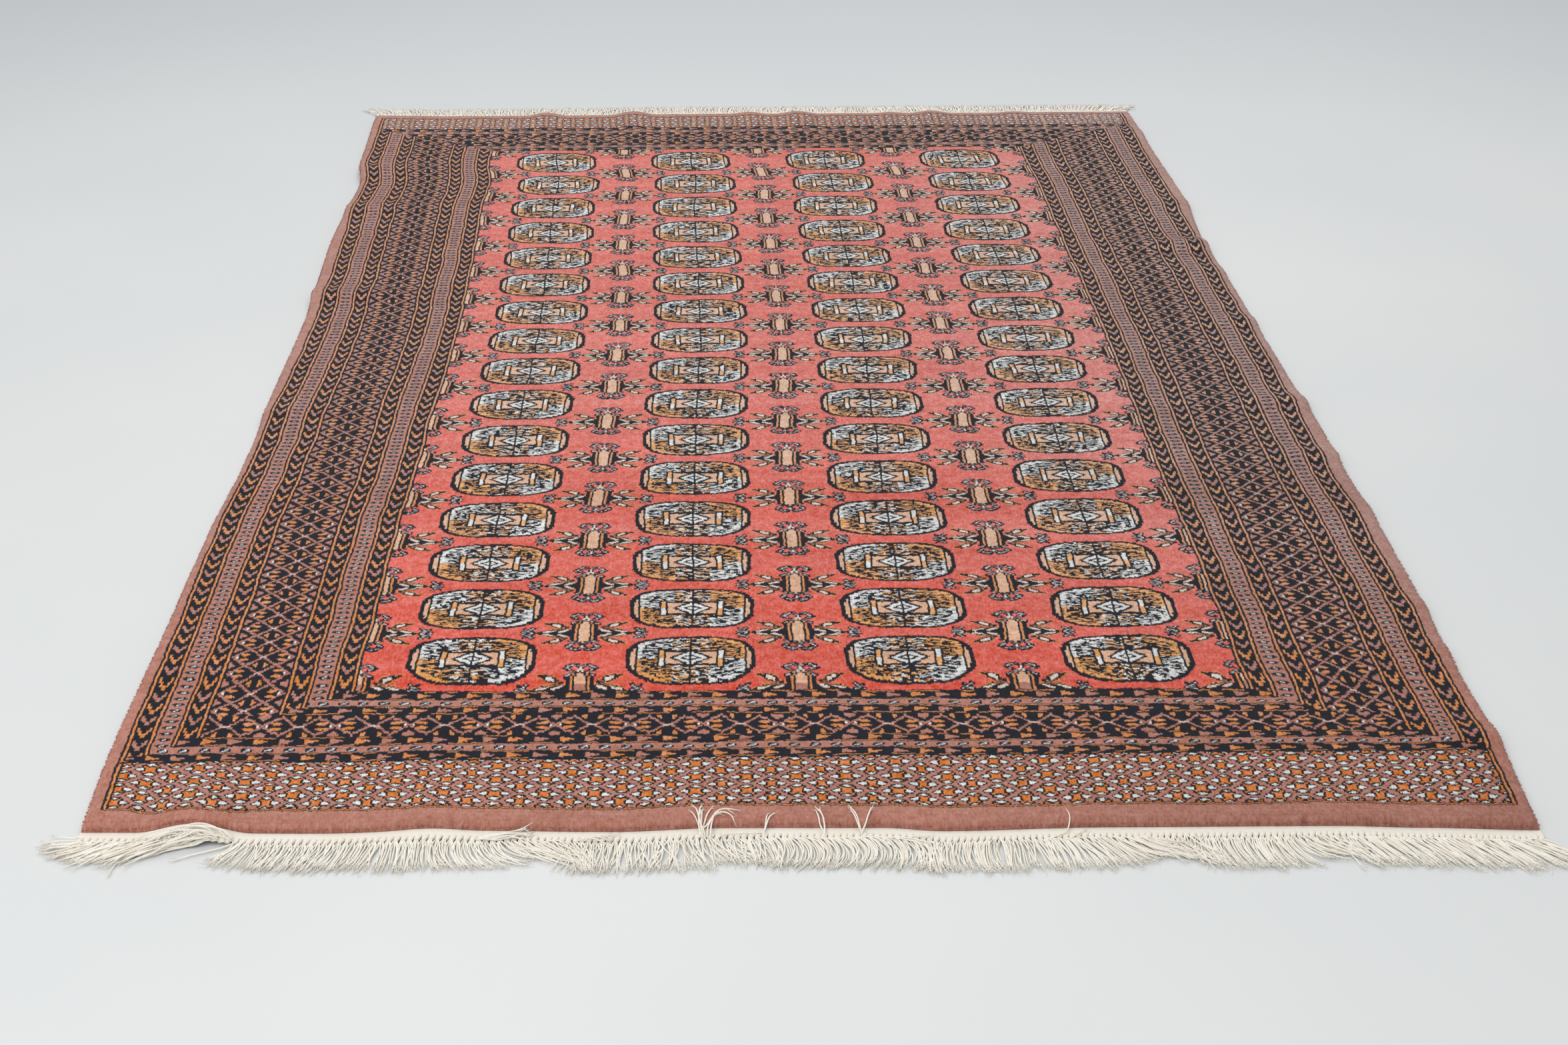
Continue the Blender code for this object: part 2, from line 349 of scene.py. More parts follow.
def scatter(tree, vector):
    """A number from 0 to 1 that is unlike that of every other place."""
    node = tree.nodes.new("ShaderNodeTexWhiteNoise")
    node.noise_dimensions = "2D"
    tree.links.new(vector, node.inputs["Vector"])
    return Thread(node.outputs["Value"])


def mapped(value, from_low, from_high, to_low, to_high, form="LINEAR"):
    """A number carried from one range to another, and held at its ends."""
    node = value.tree.nodes.new("ShaderNodeMapRange")
    node.interpolation_type = form
    plug(value.tree, value, node.inputs["Value"])
    limits = {"From Min": from_low, "From Max": from_high, "To Min": to_low, "To Max": to_high}
    for name, limit in limits.items():
        node.inputs[name].default_value = limit
    return Thread(node.outputs["Result"])


def parted(tree, vector):
    """The three numbers of a vector."""
    node = tree.nodes.new("ShaderNodeSeparateXYZ")
    tree.links.new(vector, node.inputs[0])
    return [Thread(output) for output in node.outputs]


def map_place(tree, name):
    """The two numbers that one of the mesh's UV maps gives for a place."""
    node = tree.nodes.new("ShaderNodeUVMap")
    node.uv_map = name
    return parted(tree, node.outputs["UV"])[:2]


def own_place(tree):
    """The place itself, in the object's metres."""
    return tree.nodes.new("ShaderNodeTexCoord").outputs["Object"]


def ramp_colour(tree, stops, place, form="CONSTANT"):
    """A colour ramp read at a place. Each stop is a position and a colour."""
    node = tree.nodes.new("ShaderNodeValToRGB")
    ramp = node.color_ramp
    ramp.interpolation = form
    while len(ramp.elements) < len(stops):
        ramp.elements.new(0.5)
    for element, (position, colour) in zip(ramp.elements, stops):
        element.position = position
        element.color = (*colour[:3], 1.0)
    plug(tree, place, node.inputs["Fac"])
    return node.outputs["Color"]


def channels(tree, colour):
    """The three numbers of a colour."""
    node = tree.nodes.new("ShaderNodeSeparateColor")
    tree.links.new(colour, node.inputs["Color"])
    return [Thread(output) for output in node.outputs[:3]]


def blended(tree, share, first, second):
    """A colour between two colours, each given as a value or as another node's output."""
    mix = tree.nodes.new("ShaderNodeMix")
    mix.data_type = "RGBA"
    for name, colour in (("A", first), ("B", second)):
        socket = next(s for s in mix.inputs if s.name == name and s.type == "RGBA")
        if isinstance(colour, tuple):
            socket.default_value = colour
        else:
            tree.links.new(colour, socket)
    plug(tree, share, mix.inputs["Factor"])
    return next(s for s in mix.outputs if s.type == "RGBA")


def bumped(tree, height, strength, distance, shader):
    """Fine relief from a height."""
    bump = tree.nodes.new("ShaderNodeBump")
    bump.inputs["Strength"].default_value = strength
    bump.inputs["Distance"].default_value = distance
    plug(tree, height, bump.inputs["Height"])
    tree.links.new(bump.outputs["Normal"], shader.inputs["Normal"])


FIBRE_SHEEN = 0.06


def soften(shader, roughness, shine, sheen_roughness):
    """The finish of dull, slightly downy fibres."""
    plug(shader.id_data, roughness, shader.inputs["Roughness"])
    shader.inputs["Specular IOR Level"].default_value = shine
    shader.inputs["Sheen Weight"].default_value = FIBRE_SHEEN
    shader.inputs["Sheen Roughness"].default_value = sheen_roughness


# %% [markdown]
# ## The camera, the floor and the light
#
# The photograph was taken by someone who stood before the near end and looked down at the rug, with a
# normal lens of 50 mm. The four corners of the pile fix where that camera was. Its picture was cut off
# centre, so the lens is shifted sideways. The light is broad and soft: one large lamp hangs over the far
# end and one stands at the near left, so ripples show as gentle bands and the fringe has only a faint
# shadow.

# %% The camera
CAMERA_FROM_CORNER = (0.52840, -1.54079, 1.12473)
CAMERA_TILT = 61.9307
CAMERA_ROLL = 0.3817
CAMERA_TURN = 0.2945
LENS = 50.3635
SENSOR_WIDTH = 36.0
SIDEWAYS_SHIFT = 0.06719

lens = bpy.data.cameras.new("camera")
lens.lens = LENS
lens.sensor_width = SENSOR_WIDTH
lens.shift_x = SIDEWAYS_SHIFT
camera = bpy.data.objects.new("camera", lens)
camera.location = CORNER + np.array(CAMERA_FROM_CORNER)
camera.rotation_euler = Euler([math.radians(angle) for angle in (CAMERA_TILT, CAMERA_ROLL, CAMERA_TURN)])
bpy.context.collection.objects.link(camera)
bpy.context.scene.camera = camera
print("camera stands at", [round(value, 3) for value in camera.location])

# %% The floor and the light
FLOOR_SIZE = 14.0
FLOOR_DROP = 0.0006
FLOOR_COLOUR = srgb(226, 228, 228)
FLOOR_FLECK = srgb(219, 222, 223)
# Painted shade: the floor's colour darkens towards the far end, for light that falls off there.
FLOOR_PAINTED_FALLOFF = srgb(196, 200, 204)
FLOOR_PAINTED_SHADE_SPAN = (0.2, 2.2)
FLOOR_CLOUDS = 1.2
FLOOR_ROUGHNESS = 0.55


def make_floor():
    """A pale smooth floor, its colour varying in broad clouds, with painted shade darkening it behind the
    rug.
    """
    material, tree, shader = new_material("pale_floor")
    place = own_place(tree)
    _, y, _ = parted(tree, place)
    tones = [(0.35, FLOOR_COLOUR), (0.70, FLOOR_FLECK)]
    near_tone = ramp_colour(tree, tones, noise(tree, place, FLOOR_CLOUDS, 3.0), "LINEAR")
    # Painted shade: the floor grows darker from the near end of the rug to behind it.
    behind = mapped(y, *FLOOR_PAINTED_SHADE_SPAN, 0.0, 1.0, "SMOOTHSTEP")
    tree.links.new(blended(tree, behind, near_tone, FLOOR_PAINTED_FALLOFF), shader.inputs["Base Color"])
    shader.inputs["Roughness"].default_value = FLOOR_ROUGHNESS
    half = 0.5 * FLOOR_SIZE
    level = CORNER[2] - FLOOR_DROP
    corners = [(-half, -half, level), (half, -half, level), (half, half, level), (-half, half, level)]
    floor = mesh_object("floor", corners, [(0, 1, 2, 3)], material, smooth=False)
    return floor


Lamp = namedtuple("Lamp", "name place aim size watts colour")
LAMPS = [
    Lamp("soft_box_above", (0.2, 2.4, 3.2), (0.0, 0.0, 0.0), 3.6, 70.0, (1.0, 0.985, 0.96)),
    Lamp("soft_box_front", (-1.4, -2.6, 2.6), (0.0, -0.2, 0.0), 2.6, 58.0, (1.0, 0.99, 0.975)),
]
SKY_COLOUR = (0.97, 0.985, 1.0, 1.0)
SKY_STRENGTH = 0.50


def make_lamp(lamp):
    """A square area light that faces its aim."""
    light = bpy.data.lights.new(lamp.name, "AREA")
    light.size = lamp.size
    light.energy = lamp.watts
    light.color = lamp.colour
    item = bpy.data.objects.new(lamp.name, light)
    item.location = lamp.place
    item.rotation_euler = (item.location - Vector(lamp.aim)).to_track_quat("Z", "Y").to_euler()
    bpy.context.collection.objects.link(item)


floor = make_floor()
for lamp in LAMPS:
    make_lamp(lamp)
world = bpy.data.worlds.new("sky")
world.use_nodes = True
world.node_tree.nodes["Background"].inputs["Color"].default_value = SKY_COLOUR
world.node_tree.nodes["Background"].inputs["Strength"].default_value = SKY_STRENGTH
bpy.context.scene.world = world
bpy.context.scene.view_settings.view_transform = "Standard"
print("lamps:", [lamp.name for lamp in LAMPS])

# %% [markdown]
# ## The pile
#
# The pile is one thick sheet. It could be a flat block with a picture on it, but then its edge would look
# cut with a knife. A knotted pile stands up from its foundation and rolls over at the edge, so the sheet
# is worked out as a grid of two parameters, and its height falls from full to nothing over the last few
# millimetres by a rounded profile. The grid has its lines close together there, and even spaces inside.
# The underside is the same grid, lying on the floor and sharing the rim.
#
# Each point also keeps its place in the weave, in metres, as a UV map. The pattern is read from that map,
# so it bends with the cloth just as real knots do.

# %% The pile's sheet
EDGE_ROLL = 0.0075
ROLL_FULLNESS = 2.4
ROLL_STEPS = 6
ACROSS_LINES = 168
ALONG_LINES = 266
SWELL = 0.00035
# The underside's share of the width of the map that has room for each face.
UNDER_STRIP = 0.012


def grid_lines(length, count):
    """Stations along one side: crowded by a quarter circle where the pile rolls over, and even between."""
    turn = np.linspace(0, 0.5 * math.pi, ROLL_STEPS + 1)
    roll = EDGE_ROLL * (1 - np.cos(turn))
    middle = np.linspace(EDGE_ROLL, length - EDGE_ROLL, count)
    return np.concatenate([roll[:-1], middle, (length - roll[:-1])[::-1]])


def roll_profile(inset):
    """Share of the full height at a distance in from the edge: a fuller quarter of a rounded curve."""
    gone = np.clip(1 - inset / EDGE_ROLL, 0, 1)
    return (1 - gone ** ROLL_FULLNESS) ** (1 / ROLL_FULLNESS)


def swell(across, along):
    """Slow unevenness of the clipped pile: three waves that cross at odd angles."""
    return SWELL * (np.sin(91 * across + 13 * along) + np.sin(37 * across - 71 * along + 1.3)
                    + np.sin(-59 * across - 43 * along + 2.9)) / 3


def pile_sheet():
    """Points of the top and the underside, each across by along, and their places in the weave."""
    across, along = np.meshgrid(grid_lines(PILE_WIDTH, ACROSS_LINES), grid_lines(PILE_LENGTH, ALONG_LINES),
                                indexing="ij")
    x, y = plan_place(across, along)
    under = floor_clearance(across, along)
    height = (PILE_THICKNESS * roll_profile(np.minimum(across, PILE_WIDTH - across))
              * roll_profile(np.minimum(along, PILE_LENGTH - along)))
    inner = height / PILE_THICKNESS
    top = np.stack([x, y, under + height + inner * swell(across, along)], axis=-1)
    bottom = np.stack([x, y, under], axis=-1)
    return top, bottom, across, along


def make_pile(material):
    """The sheet as one closed mesh, with its weave map and a map that gives the top nearly all its room."""
    top, bottom, across, along = pile_sheet()
    wide, deep = across.shape
    number = np.arange(wide * deep).reshape(wide, deep)
    under = number + wide * deep
    rim = np.zeros((wide, deep), dtype=bool)
    rim[0], rim[-1], rim[:, 0], rim[:, -1] = True, True, True, True
    under[rim] = number[rim]
    faces_top = np.stack([number[:-1, :-1], number[1:, :-1], number[1:, 1:], number[:-1, 1:]], axis=-1)
    faces_under = np.stack([under[:-1, :-1], under[:-1, 1:], under[1:, 1:], under[1:, :-1]], axis=-1)
    faces = np.concatenate([faces_top.reshape(-1, 4), faces_under.reshape(-1, 4)])
    points = np.concatenate([top.reshape(-1, 3), bottom.reshape(-1, 3)]) + CORNER
    kept = np.unique(faces)
    renumber = np.zeros(len(points), dtype=int)
    renumber[kept] = np.arange(len(kept))
    item = mesh_object("pile", points[kept], renumber[faces], material)

    woven = np.stack([across.ravel(), along.ravel()], axis=-1)
    woven = np.concatenate([woven, woven])[faces].reshape(-1, 2)
    room = np.repeat([[1 - UNDER_STRIP, 0.0], [0.8 * UNDER_STRIP, 1 - 0.8 * UNDER_STRIP]],
                     4 * len(faces) // 2, axis=0)
    spread = woven / (PILE_WIDTH, PILE_LENGTH)
    spread[:, 0] = spread[:, 0] * room[:, 0] + room[:, 1]
    add_map(item, "woven", woven)
    add_map(item, "OFBake", spread)
    item.data.uv_layers.active = item.data.uv_layers["woven"]
    return item


# %% [markdown]
# ## The knotter's charts
#
# A rug is knotted from charts: squared paper with a letter or a colour for each knot. The ones below were
# drawn. Each repeats all over the rug, so only the part that differs is charted.
#
# The letters: . red ground, k dark, w white, o orange, r rose, g blue-grey, b brown. In the gul, b and g
# stand for two kinds of dark strokes, and f for the filling between them.
#
# Between the guls stands a smaller motif: a tan staff between orange bars, with curled horns at both
# ends, leaves at its sides, and a little flower beyond them. Its left half is charted. The sides are the
# same above and below the middle, so their chart has the upper half alone, from the flower in to the
# leaves. The staff and its horns differ, so that chart runs from the top to the bottom. In the field, rose
# stands for tan, and blue-grey is speckled with dark.

# %% The small motif: the upper left of its sides, and the left half of its staff
MOTIF_SIDE = """
.........ooo..oo.....
..........kkokkoo....
.........okkkkbkko...
..........okkkwwkko..
...........okkwwwkk..
............okwwwwko.
.............kkwwwkk.
.............okkwwkbo
..............okkwkkk
.....k........o.kkbok
.k..kgk........o.obkk
.kk.kwk......oo.okbob
.kgkggk.....ookokobkb
.kgkwk.....okbkkokkkw
..kggk.....okbwwkkkww
.kgwgk...okbwwwkkkwww
kggkggk.okwwwwkkkwwwk
kwkgwgkokkwwwkkkkwwkk
.kgkkwkkkkkbkkkkkkbkk
"""

MOTIF_STEM = """
....kkk..
...kgggk.
..kgwggk.
.kgggkgg.
.kgwk.kgk
.kwgk.kgw
kgwk...kw
kggk...kw
kgggk..gw
.kgwk..gw
.kkggk.ww
..kkgk.wg
....k.gwk
.....kgwk
....kggko
...kgwkko
..kggkkrr
.kgwkokrr
.kwgkokrr
.kgkokrrr
.kkkokrrr
..kkokrrr
..kkokrrr
..kkokrrr
k.kkokrrr
k.kkokrrr
kokkokrrr
ookkokrrr
k.kkokrrr
wkkkokrrr
wkkkokrrr
kkkkokrrr
kkkkokrrr
kkkkokrrr
kkkkokrrr
kkkkokrrr
kkkkokrrr
kkkkokrrr
wkkkokrrr
wkkkokrrr
k.kkokrrr
ookkokrrr
kokkokrrr
k.kkokrrr
k.kkokrrr
..kkokrrr
..kkokrrr
.kgkokrrr
.kggkkrrr
..kwgkkkr
...kkggko
....kkgko
..kkk.kgk
.kgwk.kgk
.kgk...kg
kgwk...kw
kggk...gw
kwgk..kgw
kggkk.kgw
.kggkkkgk
.kkwgkggk
..kggwgk.
..kkgggk.
...kkgkk.
....kkk..
"""

# %% [markdown]
# The panel at each end is a lattice of rose lines, with an orange cross and four white flowers in
# each mesh. The narrow borders carry a small mark: a dark rung with a pale middle at the sides, and a
# slanting S at the ends.

# %% The upper left quarter of the lattice, and the two marks
LATTICE = """
rrrrrrrrrrr
rrrrrrrrrkk
rrrrrrrrkkw
rrrrrrrrkww
rrrrrrrkkkw
rrrrrrrkokk
rrrrrrrkook
rrrrrkkkkoo
rrrrrkwwkoo
rrrrkwwwkoo
"""

SIDE_MARK = """
rrrrrrrr
rrrrrrrr
rrkkkkrr
rkkwgkkr
rkkgwkkr
rrkkkkrr
rrrrrrrr
rrrrrrrr
"""

END_MARK = """
rrrrrrrrr
rrrkkkrrr
rrkwgkkrr
rrkkwgkrr
rrkgkwkrr
rrrkkkrrr
rrrrrrrrr
"""

# %% [markdown]
# ## From letters to a material
#
# A picture file would hold the charts with ease, but a picture of squares has edges of its own, and this
# material should stay arithmetic. A colour ramp can hold a chart instead. Each letter is a digit from 0
# to 7. Seven rows of a chart, read down one column, make a number of seven digits, and a ramp with sharp
# steps holds 32 such numbers in each of its three channels. To read a knot, the shader looks up its
# column on the ramp, picks the channel, and takes out one digit.

# %% Charts as digits, and digits as ramps
LETTERS = ".kworgbf"
DARK, WHITE, ORANGE, ROSE, GREY = (LETTERS.index(letter) for letter in "kworg")
DIGITS = 7
RAMP_STEPS = 32
HALF_DIGIT = 0.5 / 8 ** DIGITS


def as_digits(chart):
    """A chart as an array of digits, with its lowest row first and its last letter first, at the middle."""
    return np.array([[LETTERS.index(letter) for letter in row[::-1]] for row in reversed(chart.split())])


def laid_out(steps):
    """Digits from a list of steps, each a place where a letter goes over what is there."""
    digits = np.zeros(steps[0][0].shape)
    for where, letter in steps:
        digits[where] = LETTERS.index(letter)
    return digits


def gul_quarter():
    """A quarter of the gul in digits, its first row and column at the middle.

    Its edges are straight lines in rows up and knots out: the arms, the small diamond on them, the bar at
    the end of each arm and the strip down each side. The rim is a rounded oblong, where the sum of the
    two shares of its half sizes, each to the power GUL_POWER, is 1.
    """
    up, out = np.mgrid[0:GUL_HALF_ROWS, 0:GUL_HALF_COLUMNS]
    rim = (out / GUL_HALF_COLUMNS) ** GUL_POWER + (up / GUL_HALF_ROWS) ** GUL_POWER
    diamond = up / 9.5 + out / 7.5
    return laid_out([
        (up >= 0, "f"), ((out < 23) & (rim < 0.56), "b"), ((out < 9) & (up > 10), "g"),
        ((out < 13) & (up < 12), "k"), ((out < 12) & (up < 9), "r"),
        (diamond < 1.3, "k"), (diamond < 1.0, "w"), (diamond < 0.55, "k"), (diamond < 0.3, "w"),
        ((out > 11) & (out < 16) & (up < 14), "k"), ((out > 12) & (out < 15) & (up < 12), "o"),
        (out > 24, "k"), (out > 25, "r"), ((out > 27) | (rim > 0.76), "k"), (out < 1, "k"),
    ])


def border_quarter():
    """A quarter of one unit of the wide border: rose lines on dark, which cross at a white dot.

    A line runs out and up from the dot to half the border's half width, and on back down to its edge.
    Inside the bend lie an orange drop that widens outwards and a white dot near the edge. Beyond the bend
    lie a small orange wedge by the border's middle and rose ground by its edge.
    """
    up, out = np.mgrid[0:13, 0:15]
    past_line = abs(out - 7) + up * 7 / 12 - 7
    drop = np.hypot((out - 8.7) / 2.1, (up - 3.8 - 0.2 * (out - 8.7)) / 1.9) < 1
    return laid_out([
        (up >= 0, "k"), ((past_line > 4.3) & (out > 7), "r"), (abs(past_line) < 0.88, "r"), (drop, "o"),
        ((out > 1) & (out < 4) & (up > 10), "o"), ((out == 2) & (up > 8), "o"),
        ((out > 11) & (out < 13) & (up < 2), "w"), ((out < 2) & (up < 1), "w"),
    ])


def whole_motif():
    """The small motif's left half, from its lowest row up: its sides mirrored, beside its staff."""
    side, stem = as_digits(MOTIF_SIDE), as_digits(MOTIF_STEM)
    rows = np.arange(len(stem)) - MOTIF_ROWS_BELOW
    away = np.where(rows >= 0, rows, -1 - rows)
    sides = np.where((away < len(side))[:, None], side[np.minimum(away, len(side) - 1)], 0)
    return np.hstack([stem, sides])


MOTIF_ROWS_BELOW = 30
GUL_HALF_COLUMNS = 30
GUL_HALF_ROWS = 35
GUL_POWER = 2.9
LATTICE_FROM = 16
END_MARK_FROM = 8
Chart = namedtuple("Chart", "column digits")
SHELF = [
    [Chart(0, gul_quarter())],
    [Chart(0, whole_motif())],
    [Chart(0, border_quarter()), Chart(LATTICE_FROM, as_digits(LATTICE))],
    [Chart(0, as_digits(SIDE_MARK)), Chart(END_MARK_FROM, as_digits(END_MARK))],
]


def stack_charts(shelf):
    """All charts in one tall table, 32 columns wide, and the row at which each shelf starts."""
    starts, tables, used = [], [], 0
    for charts in shelf:
        tall = -(-max(len(chart.digits) for chart in charts) // DIGITS) * DIGITS
        table = np.zeros((tall, RAMP_STEPS))
        for chart in charts:
            rows, columns = chart.digits.shape
            table[:rows, chart.column:chart.column + columns] = chart.digits
        starts.append(used)
        tables.append(table)
        used += tall
    return np.concatenate(tables), starts


CHART_TABLE, (GUL_ROW, MOTIF_ROW, BORDER_ROW, MARK_ROW) = stack_charts(SHELF)
print("rows of charts:", len(CHART_TABLE), "starting at", GUL_ROW, MOTIF_ROW, BORDER_ROW, MARK_ROW)


def stepped_ramp(tree, colours, place):
    """A ramp with sharp steps: colour number n is given at place (n + 0.5) / RAMP_STEPS."""
    stops = [(number / RAMP_STEPS, colour) for number, colour in enumerate(colours)]
    return ramp_colour(tree, stops, place)


def read_chart(tree, column, row):
    """The digit in the tall table at a column and a row.

    Seven rows make one plate, a channel of a ramp. Each ramp's three channels are weighed by how near
    their plate's number is to the wanted one: 1 for the same, and 0 for any other.
    """
    plates = CHART_TABLE.reshape(-1, DIGITS, RAMP_STEPS)
    numbers = (plates * 8.0 ** -np.arange(1, DIGITS + 1)[None, :, None]).sum(axis=1)
    spare = -len(numbers) % 3
    numbers = np.concatenate([numbers, np.zeros((spare, RAMP_STEPS))])
    place = (column + 0.5) / RAMP_STEPS
    plate = whole(row / DIGITS)
    total = None
    for first in range(0, len(numbers), 3):
        read = channels(tree, stepped_ramp(tree, numbers[first:first + 3].T, place))
        for number, channel in enumerate(read, first):
            if number < len(numbers) - spare:
                share = matches(plate, number) * channel
                total = share if total is None else total + share
    shifted = (total + HALF_DIGIT) * worked("POWER", 8.0, row - plate * DIGITS)
    return whole(8 * worked("FRACT", shifted))


# %% [markdown]
# ## The knotter's layout
#
# A knot is 2.1 mm wide and 1.2 mm along, so the rug has 596 columns and 1685 rows of them. From the edge
# inwards come a plain band, a set of narrow borders, a wide one, a second narrow set and the field, with
# thin lines between. The borders run round the field like picture frames, one inside the other. So a
# single number, how many knots a place is in from the outermost frame, says which band it is in, and one
# more ramp turns that number into the band's kind, its first knot and its last. At each end a panel lies
# between the plain band and the frames.

# %% The bands, counted in knots from the outermost line inwards
COLUMNS = 596
ROWS = 1685
KNOT_WIDTH = PILE_WIDTH / COLUMNS
KNOT_HEIGHT = PILE_LENGTH / ROWS
PLAIN_KNOTS = 6
RIGHT_PLAIN_KNOTS = 6
NEAR_PLAIN_ROWS = 20
FAR_PLAIN_ROWS = 16
NEAR_FRAME_ROW = 89
FAR_FRAME_ROW = 68

CHEVRON, SMALL_MARK, WIDE = 8, 9, 10
Band = namedtuple("Band", "kind knots")
LINE = [Band(DARK, 1), Band(ORANGE, 1), Band(DARK, 1)]
NARROW = [*LINE, Band(CHEVRON, 6), *LINE, Band(SMALL_MARK, 8), *LINE, Band(CHEVRON, 6), *LINE]
NARROW_KNOTS = sum(band.knots for band in NARROW)
WIDE_KNOTS = 29
BANDS = [*NARROW, Band(WIDE, WIDE_KNOTS), *NARROW]
FRAME_KNOTS = sum(band.knots for band in BANDS)
# Rows at the ends that the outer narrow borders, the inner ones and the wide border take.
OUTER_END_ROWS = 36
INNER_END_ROWS = 33
WIDE_END_ROWS = 29
BAND_SCALE = 100.0
KIND_SCALE = 16.0


def band_ramp(tree, depth):
    """The kind of band at a depth, and the depths of its first and last knots."""
    stops, first = [], 0
    for band in BANDS:
        last = first + band.knots - 1
        stops.append((first / BAND_SCALE, (band.kind / KIND_SCALE, first / BAND_SCALE, last / BAND_SCALE)))
        first = last + 1
    kind, low, high = channels(tree, ramp_colour(tree, stops, (depth + 0.5) / BAND_SCALE))
    return kind * KIND_SCALE, low * BAND_SCALE, high * BAND_SCALE


print("bands:", len(BANDS), "and knots in them:", FRAME_KNOTS)

# %% Where the repeats start, and how long they are, in knots and rows
MOTIF_ROWS, MOTIF_COLUMNS = SHELF[1][0].digits.shape
SIDE_MARK_ROWS, _ = SHELF[3][0].digits.shape
END_MARK_ROWS, END_MARK_COLUMNS = SHELF[3][1].digits.shape
GUL_PITCH_COLUMNS = 100
GUL_PITCH_ROWS = 83
FIRST_GUL_COLUMN = PLAIN_KNOTS + FRAME_KNOTS + 49
FIRST_GUL_ROW = 229
WIDE_PITCH_ROWS = 24
WIDE_PITCH_COLUMNS = 32
CHEVRON_ROWS = 33
CHEVRON_COLUMNS = 22
LATTICE_COLUMNS = 21
LATTICE_ROWS = 20
WIDE_START_COLUMN = 78
WIDE_START_ROW = 160
SIDE_START_ROW = 10
WIDE_MIDDLE = 14
WIDE_LAST_ROW = 12
# Columns of the wide border's chart that go into one repeat at an end.
WIDE_CHART_REACH = 28.9

# Chevrons: rows or columns by which an arm falls back with each knot off the middle, and the share of a
# repeat that is coloured. At the ends that share narrows with each knot off the middle.
CHEVRON_MIDDLE = 2.5
SIDE_CHEVRON_SLOPE = 3.8
END_CHEVRON_SLOPE = 2.0
SIDE_CHEVRON_SHARE = 0.18
END_CHEVRON_SHARE = 0.27
END_CHEVRON_NARROWING = 0.08

# At the ends half of the thin lines' stretches, of so many columns, are dark.
BROKEN_COLUMNS = 5
BROKEN_SHARE = 0.5


def chevron_ink(phase, share):
    """Orange, dark, rose and dark again along one repeat, which runs from 0 to 1."""
    rest = phase % 1.0
    coloured = chosen(rest < 0.5, ORANGE, ROSE)
    return chosen((rest % 0.5) < share, coloured, DARK)


def frame_ink(tree, column, row, side, end):
    """The digit of a knot in the frames, from how deep it is from the side and from the end.

    It comes with the knot's place in the charts, and whether its band is a charted one.
    """
    depth = smaller(side, end)
    kind, first, last = band_ramp(tree, depth)
    at_end = end < last + 0.5
    in_band = chosen(at_end, end, side) - first

    off_middle = abs(in_band - CHEVRON_MIDDLE)
    at_side_phase = (row + SIDE_START_ROW - SIDE_CHEVRON_SLOPE * off_middle) / CHEVRON_ROWS
    at_end_phase = (1 - column - END_CHEVRON_SLOPE * off_middle) / CHEVRON_COLUMNS
    share = chosen(at_end, END_CHEVRON_SHARE - END_CHEVRON_NARROWING * off_middle, SIDE_CHEVRON_SHARE)
    chevrons = chevron_ink(chosen(at_end, at_end_phase, at_side_phase), share)

    at_end_column = END_MARK_FROM + smaller((column - 1) % END_MARK_COLUMNS, END_MARK_COLUMNS - 1)
    mark_column = chosen(at_end, at_end_column, in_band)
    at_side_row = (row + SIDE_START_ROW) % SIDE_MARK_ROWS
    mark_row = MARK_ROW + chosen(at_end, smaller(in_band, END_MARK_ROWS - 1), at_side_row)

    off_wide = abs(in_band - WIDE_MIDDLE)
    stretched = WIDE_CHART_REACH / WIDE_PITCH_COLUMNS
    along_end = folded(column - WIDE_START_COLUMN, WIDE_PITCH_COLUMNS) * stretched
    along_side = folded(row - WIDE_START_ROW, WIDE_PITCH_ROWS)
    wide_column = chosen(at_end, whole(along_end), off_wide)
    wide_row = BORDER_ROW + smaller(chosen(at_end, off_wide, along_side), WIDE_LAST_ROW)

    is_mark, is_chevron = matches(kind, SMALL_MARK), matches(kind, CHEVRON)
    charted = (chosen(is_mark, mark_column, wide_column), chosen(is_mark, mark_row, wide_row))
    stretch = joined(tree, whole(column / BROKEN_COLUMNS), row)
    broken = at_end * (scatter(tree, stretch) < BROKEN_SHARE)
    return chosen(is_chevron, chevrons, chosen(broken, DARK, kind)), charted, kind > CHEVRON + 0.5


def lattice_place(column, row):
    """Chart place in the end panels: meshes stand in rows that are half a mesh apart."""
    half_wide, half_tall = 0.5 * LATTICE_COLUMNS, 0.5 * LATTICE_ROWS
    across = abs((column % LATTICE_COLUMNS) - (half_wide - 0.5))
    up = abs((row % LATTICE_ROWS) - (half_tall - 0.5))
    outside = (across / half_wide + up / half_tall) > 1.0
    chart_column = whole(chosen(outside, half_wide - across, across))
    chart_row = whole(chosen(outside, half_tall - up, up))
    return LATTICE_FROM + chart_column, BORDER_ROW + chart_row


